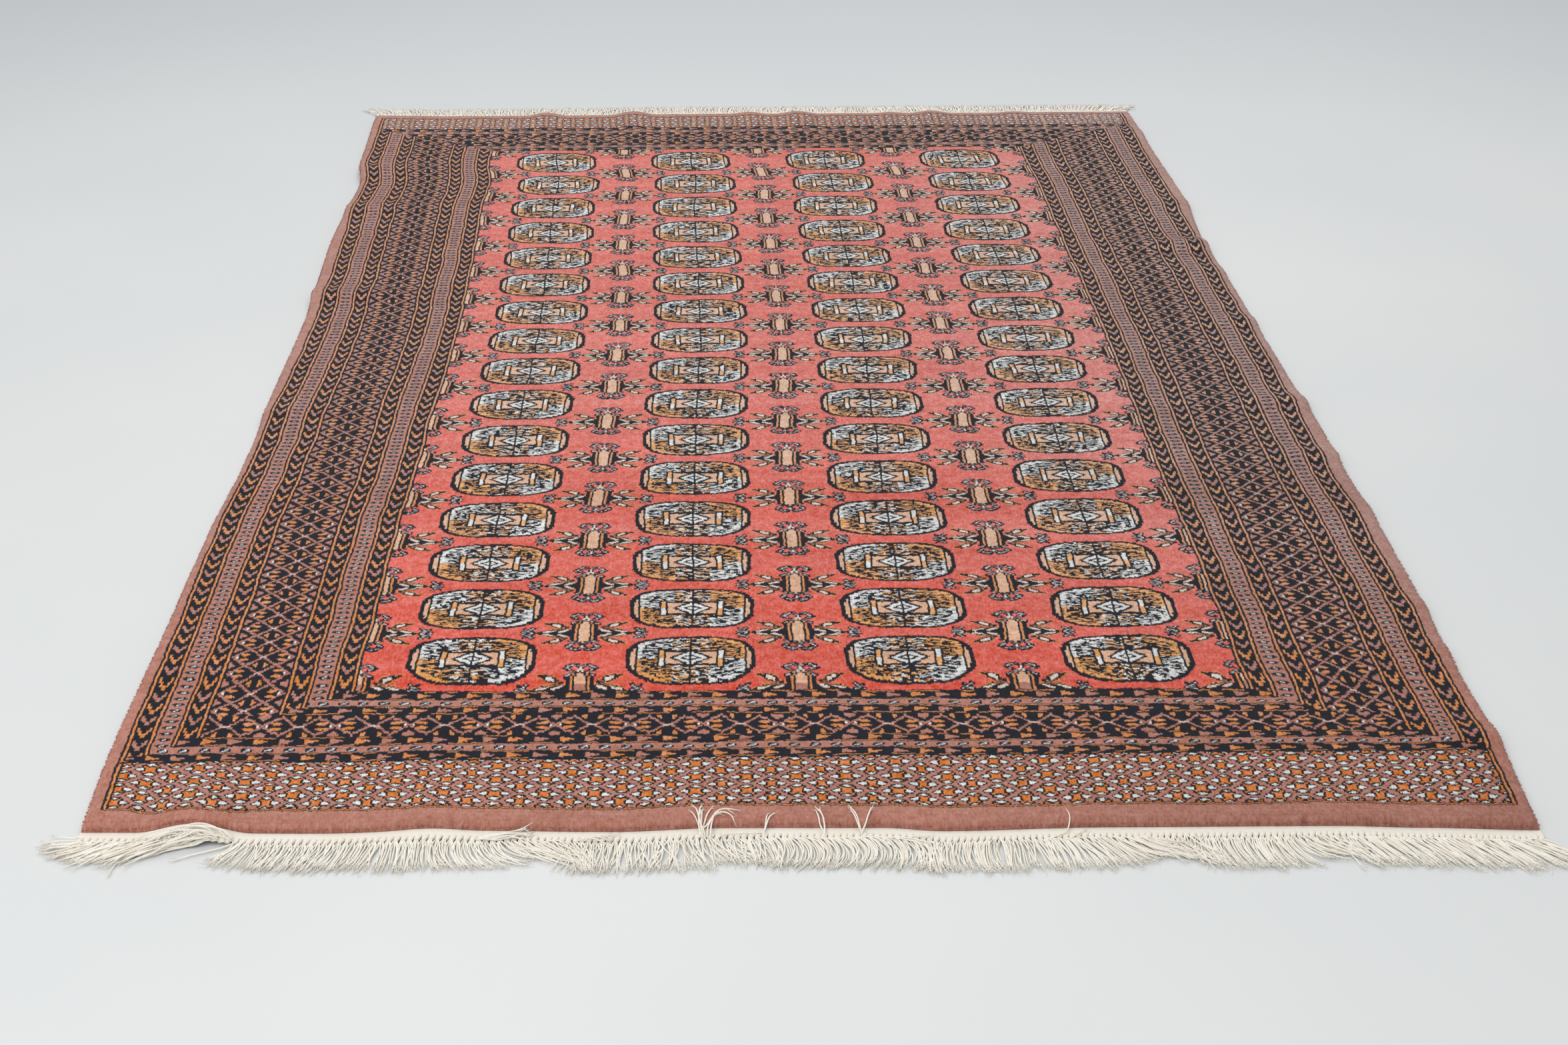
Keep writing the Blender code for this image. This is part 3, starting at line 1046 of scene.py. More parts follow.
def field_place(column, row):
    """Chart place in the field, and whether it is in a gul, swaps the gul's colours, and is charted."""
    half_pitch = GUL_PITCH_COLUMNS // 2
    across = (column - FIRST_GUL_COLUMN + half_pitch) % GUL_PITCH_COLUMNS - half_pitch
    up = (row - FIRST_GUL_ROW + 0.5 + GUL_PITCH_ROWS / 2) % GUL_PITCH_ROWS - GUL_PITCH_ROWS / 2
    out, off = abs(across), abs(up)
    in_gul = (worked("POWER", smaller(out / GUL_HALF_COLUMNS, 1), GUL_POWER)
              + worked("POWER", smaller(off / GUL_HALF_ROWS, 1), GUL_POWER)) < 1.0
    swaps = (across * up) > 0

    motif_out = abs((across + GUL_PITCH_COLUMNS) % GUL_PITCH_COLUMNS - half_pitch)
    motif_up = whole((up + GUL_PITCH_ROWS) % GUL_PITCH_ROWS - GUL_PITCH_ROWS / 2 + MOTIF_ROWS_BELOW)
    in_motif = (motif_out < MOTIF_COLUMNS) * (motif_up > -0.5) * (motif_up < MOTIF_ROWS - 0.5)
    column_in_chart = whole(chosen(in_gul, out, motif_out))
    row_in_chart = chosen(in_gul, GUL_ROW + whole(off), MOTIF_ROW + motif_up)
    return column_in_chart, row_in_chart, in_gul, swaps, larger(in_gul, in_motif)


# %% [markdown]
# ## Irregular knots
#
# No two knots are alike. The knotter's rows waver by a millimetre or so, the pile leans, and each tuft
# spreads a little into the next. So before the knot is looked up, its place is nudged: slowly, by clouds
# a hand's breadth wide, and column by column, which gives an outline its small teeth. The weaver's tension
# wasn't even either, so the rows run ahead or fall behind and slant, and a table says by how much. Over
# the fold at the near left they stand closer to the edge.


# %% Nudging a place in the weave
# Metres that noise from 0 to 1 moves a place by, and clouds of that noise to a metre.
SLOW_NUDGE = 0.0064
SLOW_CLOUDS = 16.0
QUICK_NUDGE = 0.0027
QUICK_CLOUDS = 150.0
# Rows that a tooth stands out at most, and rows along which it stays the same.
TOOTH_ROWS = 1.3
TOOTH_LENGTH = 9
FIBRE_WIDTH = 0.0004
FIBRE_LENGTH = 0.0007
LEAN_ACROSS = 0.0011
LEAN_ALONG = 0.0015

# The weaver's rows aren't even. at: metres along. ahead: metres by which the pattern is early there.
# slant: how much earlier it is at the left edge than at the right one. left: metres it stands to the left.
Drift = namedtuple("Drift", "at ahead slant left")
DRIFT_SCALE = 0.05
FOLD_AT = 0.092
FOLD_DRIFT = 0.012
FOLD_REACH = 0.055
FOLD_FADES = (0.02, 0.13)
DRIFTS = [
    Drift(0.000, 0.0000, 0.000, 0.0000), Drift(0.050, 0.0000, 0.008, 0.0000),
    Drift(0.110, 0.0045, 0.018, 0.0000), Drift(0.165, 0.0105, 0.001, 0.0000),
    Drift(0.205, 0.0090, 0.001, 0.0000), Drift(0.228, 0.0050, 0.002, 0.0000),
    Drift(0.242, 0.0000, 0.002, 0.0005), Drift(0.280, -0.0010, 0.002, 0.0010),
    Drift(0.450, 0.0052, 0.004, 0.0030), Drift(0.620, 0.0065, 0.012, 0.0050),
    Drift(0.800, 0.0078, 0.004, 0.0050), Drift(0.940, 0.0071, 0.000, -0.0005),
    Drift(1.060, 0.0107, 0.008, -0.0015), Drift(1.180, 0.0142, 0.013, -0.0020),
    Drift(1.330, 0.0145, 0.014, -0.0040), Drift(1.430, 0.0135, 0.014, -0.0040),
    Drift(1.540, 0.0070, 0.014, 0.0035), Drift(1.660, 0.0020, 0.016, 0.0045),
    Drift(1.730, -0.0007, 0.017, 0.0040), Drift(1.800, -0.0088, 0.015, 0.0020),
    Drift(1.880, -0.0110, 0.016, 0.0010), Drift(2.000, 0.0000, 0.004, 0.0000),
]


def drifted(tree, across, along):
    """The place in an even weave that has drifted to a place on the rug, from the table of drifts."""
    stops = [(drift.at / PILE_LENGTH, [0.5 + value / DRIFT_SCALE for value in drift[1:]])
             for drift in DRIFTS]
    read = channels(tree, ramp_colour(tree, stops, along / PILE_LENGTH, "LINEAR"))
    ahead, slant, left = (value * DRIFT_SCALE - 0.5 * DRIFT_SCALE for value in read)
    from_middle = 0.5 - across / PILE_WIDTH
    over_fold = larger(1.0 - worked("POWER", abs(across - FOLD_AT) / FOLD_REACH, 2.0), 0.0)
    over_fold = over_fold * mapped(along, *FOLD_FADES, 1.0, 0.0)
    return across + left, along + ahead + slant * from_middle + FOLD_DRIFT * over_fold


def nudged(tree, across, along):
    """The place in the weave in knots across and rows along, after drift, wavering and leaning fibres."""
    across, along = drifted(tree, across, along)
    slow_x = noise(tree, joined(tree, across, along), SLOW_CLOUDS, 2.0) - 0.5
    slow_y = noise(tree, joined(tree, across + 7.3, along), SLOW_CLOUDS, 2.0) - 0.5
    quick_x = noise(tree, joined(tree, across, along, 2.1), QUICK_CLOUDS, 1.0) - 0.5
    quick_y = noise(tree, joined(tree, across, along, 5.7), QUICK_CLOUDS, 1.0) - 0.5
    fibre_across, fibre_along = whole(across / FIBRE_WIDTH), whole(along / FIBRE_LENGTH)
    lean_x = scatter(tree, joined(tree, fibre_across, fibre_along)) - 0.5
    lean_y = scatter(tree, joined(tree, fibre_across, fibre_along + 0.5)) - 0.5
    knots = (across + SLOW_NUDGE * slow_x + QUICK_NUDGE * quick_x + LEAN_ACROSS * lean_x) / KNOT_WIDTH
    rows = (along + SLOW_NUDGE * slow_y + QUICK_NUDGE * quick_y + LEAN_ALONG * lean_y) / KNOT_HEIGHT
    column = whole(knots)
    tooth = scatter(tree, joined(tree, column, whole(rows / TOOTH_LENGTH))) - 0.5
    return column, whole(rows + TOOTH_ROWS * tooth)


# %% [markdown]
# ## The pile's finish
#
# Wool pile is dull from above and bright where light grazes it, because each tuft is a small brush of
# fibres. The shader's sheen does that. The colour comes from the knot, and then varies as dyed wool does:
# from knot to knot, in streaks along the nap, in clumps, in faint bands across the rug where the knotter
# started a new batch of yarn, and in single rows. Broad patches, where the pile has been stroked one way or
# the other, are painted light and shade. Towards the right the nap is turned away from the light, and
# there the wool is painted darker and duller: painted shade.

# %% The colours of the wool
# First those of the charts' letters, in their order. The filling of the gul never shows its own.
WOOL = [
    srgb(220, 101, 87),
    srgb(32, 33, 41),
    srgb(224, 224, 222),
    srgb(212, 139, 86),
    srgb(181, 126, 111),
    srgb(132, 136, 146),
    srgb(112, 76, 62),
    srgb(224, 224, 222),
    srgb(222, 176, 146),
    srgb(226, 162, 100),
    srgb(226, 207, 198),
    srgb(214, 126, 68),
]
TAN, GOLD, CREAM, PANEL_ORANGE = 8, 9, 10, 11

# Nearer than the first row, the staffs are rose, not tan. Past the second, the frames' whites are grey.
LAST_ROSE_ROW = 195
LAST_WHITE_ROW = 520

# Strokes in the guls: clouds of noise to a column and to a row, and the share that is dark.
STROKE_CLOUDS = (0.25, 0.55)
STROKE_SHARE = 0.52
FILLING_STROKE_SHARE = 0.43
MIXED_CLOUDS = 0.3
SPECKLE_SHARE = 0.55


def knot_ink(tree, column, row):
    """The digit of the colour of a knot."""
    side = smaller(column - PLAIN_KNOTS, (COLUMNS - 1 - RIGHT_PLAIN_KNOTS) - column)
    near, far = row - NEAR_FRAME_ROW, (ROWS - 1 - FAR_FRAME_ROW) - row
    rows_in = smaller(near, far)
    end = whole(smaller(rows_in * (NARROW_KNOTS / OUTER_END_ROWS), NARROW_KNOTS)
                + smaller(larger(rows_in - OUTER_END_ROWS, 0), WIDE_KNOTS)
                + larger(rows_in - (OUTER_END_ROWS + WIDE_END_ROWS), 0) * (NARROW_KNOTS / INNER_END_ROWS))
    depth = smaller(side, end)
    panel = smaller(side, smaller(row - NEAR_PLAIN_ROWS, (ROWS - 1 - FAR_PLAIN_ROWS) - row))

    in_frame = depth > -0.5
    in_field = depth > FRAME_KNOTS - 0.5
    in_panel = (end < -0.5) * (panel > 2.5)
    on_line = (end < -0.5) * (panel > -0.5) * (panel < 2.5)
    line_ink = chosen(matches(panel, 1), ORANGE, DARK)

    band_ink, (band_column, band_row), band_chart = frame_ink(tree, column, row, side, end)
    field_column, field_row, in_gul, swaps, field_chart = field_place(column, row)
    panel_column, panel_row = lattice_place(column, row)

    chart_column = chosen(in_field, field_column, chosen(in_panel, panel_column, band_column))
    chart_row = chosen(in_field, field_row, chosen(in_panel, panel_row, band_row))
    charted = read_chart(tree, chart_column, chart_row)

    is_filling, is_strokes, is_grey, is_orange, is_rose, is_white = (
        matches(charted, LETTERS.index(letter)) for letter in "fbgorw")
    stroke_column, stroke_row = STROKE_CLOUDS
    stroked = noise(tree, joined(tree, column * stroke_column, row * stroke_row, 4.0), 1.0, 2.0)
    strokes = stroked < STROKE_SHARE
    own, other = chosen(swaps, GOLD, WHITE), chosen(swaps, WHITE, GOLD)
    mixing = noise(tree, joined(tree, column * MIXED_CLOUDS, row * MIXED_CLOUDS, 8.0), 1.0, 1.0)
    mixed = chosen(mixing < 0.5, own, other)
    filling = chosen(stroked < FILLING_STROKE_SHARE, DARK, own)
    gul_ink = chosen(is_filling, filling, chosen(is_orange, other, charted))
    gul_ink = chosen(is_strokes, chosen(strokes, DARK, own), gul_ink)
    gul_ink = chosen(is_grey, chosen(strokes, DARK, mixed), gul_ink)

    speckled = is_grey * (scatter(tree, joined(tree, column, row)) < SPECKLE_SHARE)
    motif_ink = chosen(is_white, CREAM, chosen(speckled, DARK, charted))
    staff_ink = chosen(row < LAST_ROSE_ROW, ROSE, TAN)
    in_field_ink = field_chart * chosen(is_rose, staff_ink, chosen(in_gul, gul_ink, motif_ink))

    is_pale = larger(is_grey, is_white) * (row > LAST_WHITE_ROW)
    in_frame_ink = chosen(band_chart, chosen(is_pale, GREY, charted), band_ink)
    panel_ink = chosen(is_orange, PANEL_ORANGE, charted)
    outside = chosen(on_line, line_ink, chosen(in_panel, panel_ink, ROSE))
    return chosen(in_field, in_field_ink, chosen(in_frame, in_frame_ink, outside))


# How dyed wool varies, and, in the patches, painted light and shade. start: where its noise is read from.
# across, along: clouds of it to a metre. tone, dulling: how much a whole step of the noise lightens the
# wool and takes its colour away.
Variation = namedtuple("Variation", "start across along detail tone dulling")
STREAKS = Variation(0.0, 430, 190, 2.0, 0.60, 0.3)
CLUMPS = Variation(5.2, 130, 90, 2.0, 0.40, 0.3)
# The patches are painted light and shade, for pile stroked one way or the other.
STROKED_PAINTED_SHADE = Variation(0.0, 16, 9, 3.0, 0.30, 0.0)
BATCHES = Variation(3.1, 0.4, 24, 3.0, 0.22, 0.2)
YARN_ROWS = Variation(9.4, 7, 430, 2.0, 0.30, 0.0)
KNOT_TONE = 0.16

# Painted shade: how light the wool is painted at the left and at the right, and how much darker at the
# near right, where its nap is turned away from the light. Then how much lighter at the far right, and how
# much duller the wool is painted at the right, also as painted shade, and towards the far end.
SIDE_PAINTED_SHADES = (1.05, 0.91)
NAP_PAINTED_SHADE = 0.11
FAR_RIGHT_TONE = 0.06
RIGHT_PAINTED_DULLING = 0.15
DISTANT_COLOUR = (0.02, -0.13)

# Metres across or along between which those changes come in, or go.
RIGHT_SIDE = (0.75, 1.2)
EDGE_SIDE = (0.9, 1.2)
NEAR_END = (0.02, 0.05)
PAST_BORDERS = (0.15, 0.5)
INTO_FIELD = (0.2, 0.9)
FAR_HALF = (0.9, 1.6)

NAP_CLOUDS = (800, 150)
NAP_ROUGHNESS = (0.78, 0.95)
KNOT_RELIEF = 0.6


def make_wool():
    """The knotted wool: each knot's dye, its variations, painted light and shade, and the relief of the
    nap.
    """
    material, tree, shader = new_material("knotted_wool")
    across, along = map_place(tree, "woven")
    column, row = nudged(tree, across, along)
    dyed = stepped_ramp(tree, WOOL, (knot_ink(tree, column, row) + 0.5) / RAMP_STEPS)

    knot = scatter(tree, joined(tree, column, row))
    # Painted shade: the wool is painted lighter at the left and darker at the right, darker still close to
    # the near end at the right, and duller at the right past the borders. light and colour carry this
    # painted shade together with the wool's own tones.
    shaded_right = mapped(across, *RIGHT_SIDE, 0.0, 1.0)
    nap_shade_share = shaded_right * mapped(along, *NEAR_END, 1.0, 0.0)
    painted_dulling = shaded_right * mapped(along, *PAST_BORDERS, 0.0, 1.0)
    far_right = mapped(across, *EDGE_SIDE, 0.0, 1.0) * mapped(along, *FAR_HALF, 0.0, 1.0)
    light = (mapped(across, 0.0, PILE_WIDTH, *SIDE_PAINTED_SHADES) - NAP_PAINTED_SHADE * nap_shade_share
             + FAR_RIGHT_TONE * far_right + KNOT_TONE * (knot - 0.5))
    colour = 1.0 + mapped(along, *INTO_FIELD, *DISTANT_COLOUR) - RIGHT_PAINTED_DULLING * painted_dulling
    for change in (STREAKS, CLUMPS, STROKED_PAINTED_SHADE, BATCHES, YARN_ROWS):
        place = joined(tree, change.start + across * change.across, along * change.along)
        cloud = noise(tree, place, 1.0, change.detail) - 0.5
        light = light + change.tone * cloud
        colour = colour - change.dulling * cloud
    toned = tree.nodes.new("ShaderNodeHueSaturation")
    tree.links.new(dyed, toned.inputs["Color"])
    plug(tree, light, toned.inputs["Value"])
    plug(tree, colour, toned.inputs["Saturation"])
    tree.links.new(toned.outputs["Color"], shader.inputs["Base Color"])

    nap_across, nap_along = NAP_CLOUDS
    nap = noise(tree, joined(tree, across * nap_across, along * nap_along), 1.0, 3.0)
    bumped(tree, nap + KNOT_RELIEF * knot, 0.5, 0.0012, shader)
    soften(shader, mapped(nap, 0.2, 0.8, *NAP_ROUGHNESS), 0.1, 0.45)
    return material


wool = make_wool()
pile = make_pile(wool)
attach(pile, "root")
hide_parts("rug")
print("pile:", len(pile.data.polygons), "faces, and", len(wool.node_tree.nodes), "nodes in its material")

# %% [markdown]
# ## The fringe
#
# At both ends the cotton warp leaves the wool. First it is woven on for a finger's breadth as a narrow
# cream web. Then the yarns are gathered, five at a time, into a row of hard little knots, and run out
# free for about 45 mm. People have walked on them, so they lie in swept bunches and waves.
#
# Hair particles could make the yarns, but nobody could then say where one lies. Here each yarn is a path:
# its heading is a function of how far along it is, and a short table says how that heading changes from
# the left corner to the right one. Adding up the steps of all yarns at once gives all the paths.

# %% Sizes of the fringe, and how it lies
KNOTS_PER_END = 222
KNOT_CROWDING = 0.09
YARNS_PER_KNOT = 5
WEB_FLAT = 0.0082
NECK = 0.0016
SLIT = 0.0008
KNOT_LENGTH = 0.0072
KNOT_THICK = 0.0044
KNOT_BREADTH = 0.0056
KNOT_SLANT = 0.34
YARN_RADIUS = 0.00070
YARN_STEPS = 16
YARN_SIDES = 5
YARN_APART = 0.0011
FRINGE_SEED = 23

# at: metres from the left corner. root, middle, tip: headings in degrees from straight out, towards +X.
# length, heaped: metres of yarn, and how high the yarns lie on each other. loose: how untidy they are.
Lie = namedtuple("Lie", "at root middle tip length heaped loose")
NEAR_LIE = [
    Lie(0.000, -80, -93, -100, 0.030, 0.003, 0.8),
    Lie(0.018, -44, -74, -87, 0.042, 0.004, 0.8),
    Lie(0.048, -40, -62, -70, 0.050, 0.005, 0.6),
    Lie(0.082, -58, -64, -66, 0.056, 0.007, 0.4),
    Lie(0.108, -90, -76, -62, 0.062, 0.010, 0.35),
    Lie(0.133, -110, -84, -60, 0.066, 0.013, 0.35),
    Lie(0.144, -30, -59, -44, 0.036, 0.002, 1.2),
    Lie(0.160, -4, -22, -42, 0.038, 0.002, 0.7),
    Lie(0.200, -5, -16, -34, 0.040, 0.002, 0.5),
    Lie(0.255, -4, -12, -27, 0.040, 0.002, 0.5),
    Lie(0.286, 4, -2, -4, 0.042, 0.002, 0.4),
    Lie(0.298, -2, 2, -2, 0.042, 0.002, 0.4),
    Lie(0.308, -7, 6, 49, 0.041, 0.002, 0.4),
    Lie(0.335, -1, 16, 71, 0.043, 0.002, 0.4),
    Lie(0.352, 5, 36, 93, 0.046, 0.003, 0.4),
    Lie(0.376, 28, 80, 93, 0.052, 0.005, 0.6),
    Lie(0.402, 42, 59, 71, 0.050, 0.006, 0.9),
    Lie(0.424, 19, 19, 19, 0.044, 0.005, 1.2),
    Lie(0.448, 2, -5, -4, 0.042, 0.003, 0.8),
    Lie(0.482, -2, 6, 4, 0.043, 0.003, 0.8),
    Lie(0.508, 5, -18, -22, 0.044, 0.004, 1.4),
    Lie(0.530, 2, 27, 38, 0.045, 0.004, 1.4),
    Lie(0.552, 4, 36, 54, 0.038, 0.003, 1.2),
    Lie(0.585, 22, 10, 2, 0.042, 0.004, 1.0),
    Lie(0.615, 46, 8, -52, 0.047, 0.003, 0.4),
    Lie(0.668, 50, 4, -56, 0.047, 0.003, 0.4),
    Lie(0.712, 38, 8, -30, 0.045, 0.004, 0.9),
    Lie(0.745, -11, -9, 30, 0.043, 0.003, 0.4),
    Lie(0.778, -16, -6, 32, 0.043, 0.003, 0.4),
    Lie(0.800, 24, -27, 27, 0.043, 0.003, 0.4),
    Lie(0.838, 27, 12, 12, 0.044, 0.003, 0.6),
    Lie(0.868, 32, 42, 30, 0.047, 0.004, 0.5),
    Lie(0.905, 27, 71, 106, 0.048, 0.006, 0.4),
    Lie(0.938, -2, 46, 100, 0.044, 0.006, 0.6),
    Lie(0.965, -10, 12, 38, 0.044, 0.003, 0.5),
    Lie(1.020, -9, 14, 36, 0.046, 0.003, 0.4),
    Lie(1.056, 14, 71, 106, 0.048, 0.005, 0.4),
    Lie(1.084, 16, 38, 38, 0.046, 0.004, 0.6),
    Lie(1.130, 28, 44, 34, 0.048, 0.004, 0.4),
    Lie(1.200, 32, 44, 40, 0.050, 0.004, 0.4),
    Lie(1.250, 49, 54, 51, 0.050, 0.003, 0.6),
]
FAR_LIE = [
    Lie(0.000, -18, -40, -50, 0.044, 0.003, 0.8),
    Lie(0.080, -6, -14, -24, 0.042, 0.003, 0.8),
    Lie(0.250, 12, -14, 20, 0.042, 0.003, 0.6),
    Lie(0.450, 4, 10, -22, 0.044, 0.004, 0.8),
    Lie(0.650, -10, 8, 24, 0.042, 0.003, 0.6),
    Lie(0.900, 14, -16, -8, 0.044, 0.004, 0.8),
    Lie(1.150, 4, 14, 20, 0.042, 0.003, 0.6),
    Lie(1.250, 20, 38, 48, 0.044, 0.003, 0.8),
]

# Yarns that have come up over the web and the pile at the near end. Headings of about 180 degrees point
# back over the rug. fan: degrees between the first yarn and the last at their tips.
Stray = namedtuple("Stray", "at spread yarns root middle tip fan length heaped")
STRAYS = [
    Stray(0.3480, 0.0100, 13, 84, 134, 84, 24, 0.046, 0.0040),
    Stray(0.4330, 0.0060, 5, 100, 104, 60, 40, 0.030, 0.0030),
    Stray(0.5360, 0.0050, 7, 186, 176, 178, 96, 0.039, 0.0040),
    Stray(0.5420, 0.0030, 2, 176, 168, 20, 60, 0.052, 0.0040),
    Stray(0.5410, 0.0010, 1, 0, 4, -4, 0, 0.052, 0.0040),
    Stray(0.5500, 0.0010, 1, 96, 88, 92, 0, 0.042, 0.0030),
    Stray(0.5880, 0.0010, 2, 170, 184, 120, 20, 0.030, 0.0020),
    Stray(0.6400, 0.0010, 3, 172, 212, 190, 44, 0.037, 0.0020),
    Stray(0.6720, 0.0010, 3, 176, 192, 170, 64, 0.040, 0.0020),
    Stray(0.6970, 0.0060, 4, 60, 100, 96, 30, 0.042, 0.0040),
    Stray(0.8310, 0.0010, 2, 78, 146, 192, 16, 0.046, 0.0020),
    Stray(0.9080, 0.0080, 6, 30, 86, 104, 30, 0.050, 0.0070),
]

# Stretches where knots are gone, in metres from the left corner.
GAPS = {"near": [(0.1372, 0.1412), (0.2985, 0.3030)], "far": []}

# How much of the rug's rise off the floor is left at the web's outer end and at the knots.
WEB_LIFT_LEFT = 0.6
KNOT_LIFT_LEFT = 0.5

# Where yarns lie over a knot: its crest and its half length as shares of its length, and the crest's height
# as a share of its thickness. A yarn that is further out than these metres at a side is on the floor.
CREST_AT = 0.4
CREST_REACH = 0.56
CREST_HEIGHT = 0.85
BESIDE_LEFT = 0.003
BESIDE_RIGHT = 0.002


def outward_sign(which):
    """-1 for the near end, whose fringe runs towards -Y, and 1 for the far end."""
    return -1.0 if which == "near" else 1.0


def rim_place(which, across):
    """Points of the pile's lower rim along one end, and how high the rim is off the floor there."""
    along = np.full_like(across, 0.0 if which == "near" else PILE_LENGTH)
    x, y = plan_place(across, along)
    return x, y, floor_clearance(across, along)


def knot_place(share):
    """Metres across for a share of the knots. They are tied closer towards the right corner."""
    return PILE_WIDTH * (share + KNOT_CROWDING * share * (1 - share))


def knot_middles(which):
    """Middles of the knots of one end, across the rug, without those that are gone."""
    middles = knot_place((np.arange(KNOTS_PER_END) + 0.5) / KNOTS_PER_END)
    kept = np.ones(KNOTS_PER_END, dtype=bool)
    for start, stop in GAPS[which]:
        kept &= (middles < start) | (middles > stop)
    return middles[kept]


def ground_level(which, x, y):
    """Height of what a yarn lies on, by how far out from the rim it is: pile, web, knots or floor."""
    _, rim_y, rise = rim_place(which, np.clip(x, 0, PILE_WIDTH))
    out = outward_sign(which) * (y - rim_y)
    on_pile = rise + PILE_THICKNESS * roll_profile(np.maximum(-out, 0))
    on_web = rise * (1 - (1 - WEB_LIFT_LEFT) * np.clip(out / WEB_FLAT, 0, 1)) + WEB_THICKNESS
    middle = WEB_FLAT + NECK + CREST_AT * KNOT_LENGTH
    round_off = np.sqrt(np.clip(1 - ((out - middle) / (CREST_REACH * KNOT_LENGTH)) ** 2, 0, 1))
    on_knot = (rise * KNOT_LIFT_LEFT + CREST_HEIGHT * KNOT_THICK) * round_off
    level = np.where(out < 0, on_pile, np.maximum(np.where(out < WEB_FLAT + NECK, on_web, 0), on_knot))
    return np.where((x > -BESIDE_LEFT) & (x < PILE_WIDTH + BESIDE_RIGHT), level, 0)


# %% [markdown]
# The web is a flat ribbon of cotton with a ledge. Its upper layer ends in necks with slits between them,
# one neck for each knot, and the ledge goes on below. The ledge is coloured dark: painted shade, which
# makes the slits look deep.

# %% The web
WEB_STEPS_PER_KNOT = 8
WEB_SHARES = np.array([0.0, 0.25, 0.5, 0.75, 0.9, 1.0])
# The ledge is a thin sheet under the slits, coloured with painted shade.
LEDGE = 0.0028
LEDGE_THICKNESS = 0.0006
LEDGE_SHARES = np.array([1.6, 1.7, 1.8])
SHARP_ANGLE = 50


def make_web(name, which, material):
    """A closed ribbon, with a map of metres across and share of its depth (over 1 on the ledge).

    Depth of the upper layer = flat part + neck * (1 - exp(-(distance to the slit / slit width) ** 2)).
    """
    share_across = np.linspace(0, 1, KNOTS_PER_END * WEB_STEPS_PER_KNOT + 1)
    across = knot_place(share_across)
    x, y, rise = rim_place(which, across)
    to_slit = np.abs((share_across * KNOTS_PER_END + 0.5) % 1.0 - 0.5) * PILE_WIDTH / KNOTS_PER_END
    depth = WEB_FLAT + NECK * (1 - np.exp(-(to_slit / SLIT) ** 2))
    full = WEB_FLAT + NECK + LEDGE
    share = WEB_SHARES[None, :]
    out = np.concatenate([PIECE_GAP + share * depth[:, None], np.full((len(x), 1), full),
                          np.full((len(x), 1), full), np.full((len(x), 1), PIECE_GAP)], axis=1)
    thick = WEB_THICKNESS * (1 - 0.2 * share ** 3)
    base = rise[:, None] * (1 - (1 - WEB_LIFT_LEFT) * np.clip(out / WEB_FLAT, 0, 1))
    level = base + np.concatenate([thick, [[LEDGE_THICKNESS, 0.0, 0.0]]], axis=1)
    mapped_share = np.concatenate([WEB_SHARES, LEDGE_SHARES])
    sheared = x[:, None] - KNOT_SLANT * np.maximum(out - WEB_FLAT, 0)
    points = np.stack([sheared, y[:, None] + outward_sign(which) * out, level], axis=-1)
    around = points.shape[1]
    number = np.arange(len(x) * around).reshape(len(x), around)
    ahead = np.roll(number, -1, axis=1)
    faces = np.stack([number[:-1], ahead[:-1], ahead[1:], number[1:]], axis=-1).reshape(-1, 4)
    caps = [number[0][::-1], number[-1]]
    if which == "far":
        faces = faces[:, ::-1]
        caps = [cap[::-1] for cap in caps]
    item = mesh_object(name, points.reshape(-1, 3) + CORNER, [*faces.tolist(), *caps], material)
    item.data.set_sharp_from_angle(angle=math.radians(SHARP_ANGLE))
    spread = np.stack(np.broadcast_arrays(across[:, None], mapped_share[None, :]), axis=-1).reshape(-1, 2)
    corners = np.concatenate([faces.ravel(), *caps])
    add_map(item, "spun", spread[corners])
    return item


# %% [markdown]
# A knot is a small bead, a little flattened, with a slanting groove where the yarn is pulled round itself.
# One bead is worked out from two angles, and all the knots are that bead, moved and stretched. They all
# lean to the same side, because one pair of hands tied them.

# %% The knots
BEAD_AROUND = 12
BEAD_ALONG = 8
BEAD_ROUNDNESS = 0.7
GROOVE = 0.14
GROOVE_AT = 0.42 * math.pi
GROOVE_SLANT = 0.45
GROOVE_WIDTH = 0.20

# The bead's middle as a share of the knot's length, how unevenly knots stand in their row, and how their
# breadth, length and thickness vary.
BEAD_MIDDLE = 0.36
KNOT_UNEVEN_OUT = 0.0004
KNOT_UNEVEN_ASIDE = 0.0002
BREADTHS = (0.90, 1.02)
LENGTHS = (0.92, 1.06)
THICKNESSES = (0.88, 1.06)


def bead():
    """A unit bead: two angles give a rounded box, and a slanting groove goes round its middle."""
    turn = np.linspace(0, 2 * math.pi, BEAD_AROUND, endpoint=False)[:, None]
    tilt = np.linspace(0, math.pi, BEAD_ALONG + 2)[None, 1:-1]

    def squared(value):
        return np.sign(value) * np.abs(value) ** BEAD_ROUNDNESS

    groove = 1 - GROOVE * np.exp(-((tilt - GROOVE_AT - GROOVE_SLANT * np.cos(turn)) / GROOVE_WIDTH) ** 2)
    points = np.stack([
        squared(np.sin(tilt)) * squared(np.cos(turn)) * groove,
        squared(np.cos(tilt)) * np.ones_like(turn),
        squared(np.sin(tilt)) * squared(np.sin(turn)) * groove,
    ], axis=-1).reshape(-1, 3) * 0.5
    points = np.concatenate([points, [[0, 0.5, 0], [0, -0.5, 0]]])
    number = np.arange(BEAD_AROUND * BEAD_ALONG).reshape(BEAD_AROUND, BEAD_ALONG)
    ahead = np.roll(number, -1, axis=0)
    quads = np.stack([number[:, :-1], number[:, 1:], ahead[:, 1:], ahead[:, :-1]], axis=-1).reshape(-1, 4)
    first, last = BEAD_AROUND * BEAD_ALONG, BEAD_AROUND * BEAD_ALONG + 1
    faces = [*quads.tolist()]
    faces += [[first, int(number[i, 0]), int(ahead[i, 0])] for i in range(BEAD_AROUND)]
    faces += [[last, int(ahead[i, -1]), int(number[i, -1])] for i in range(BEAD_AROUND)]
    return points, faces


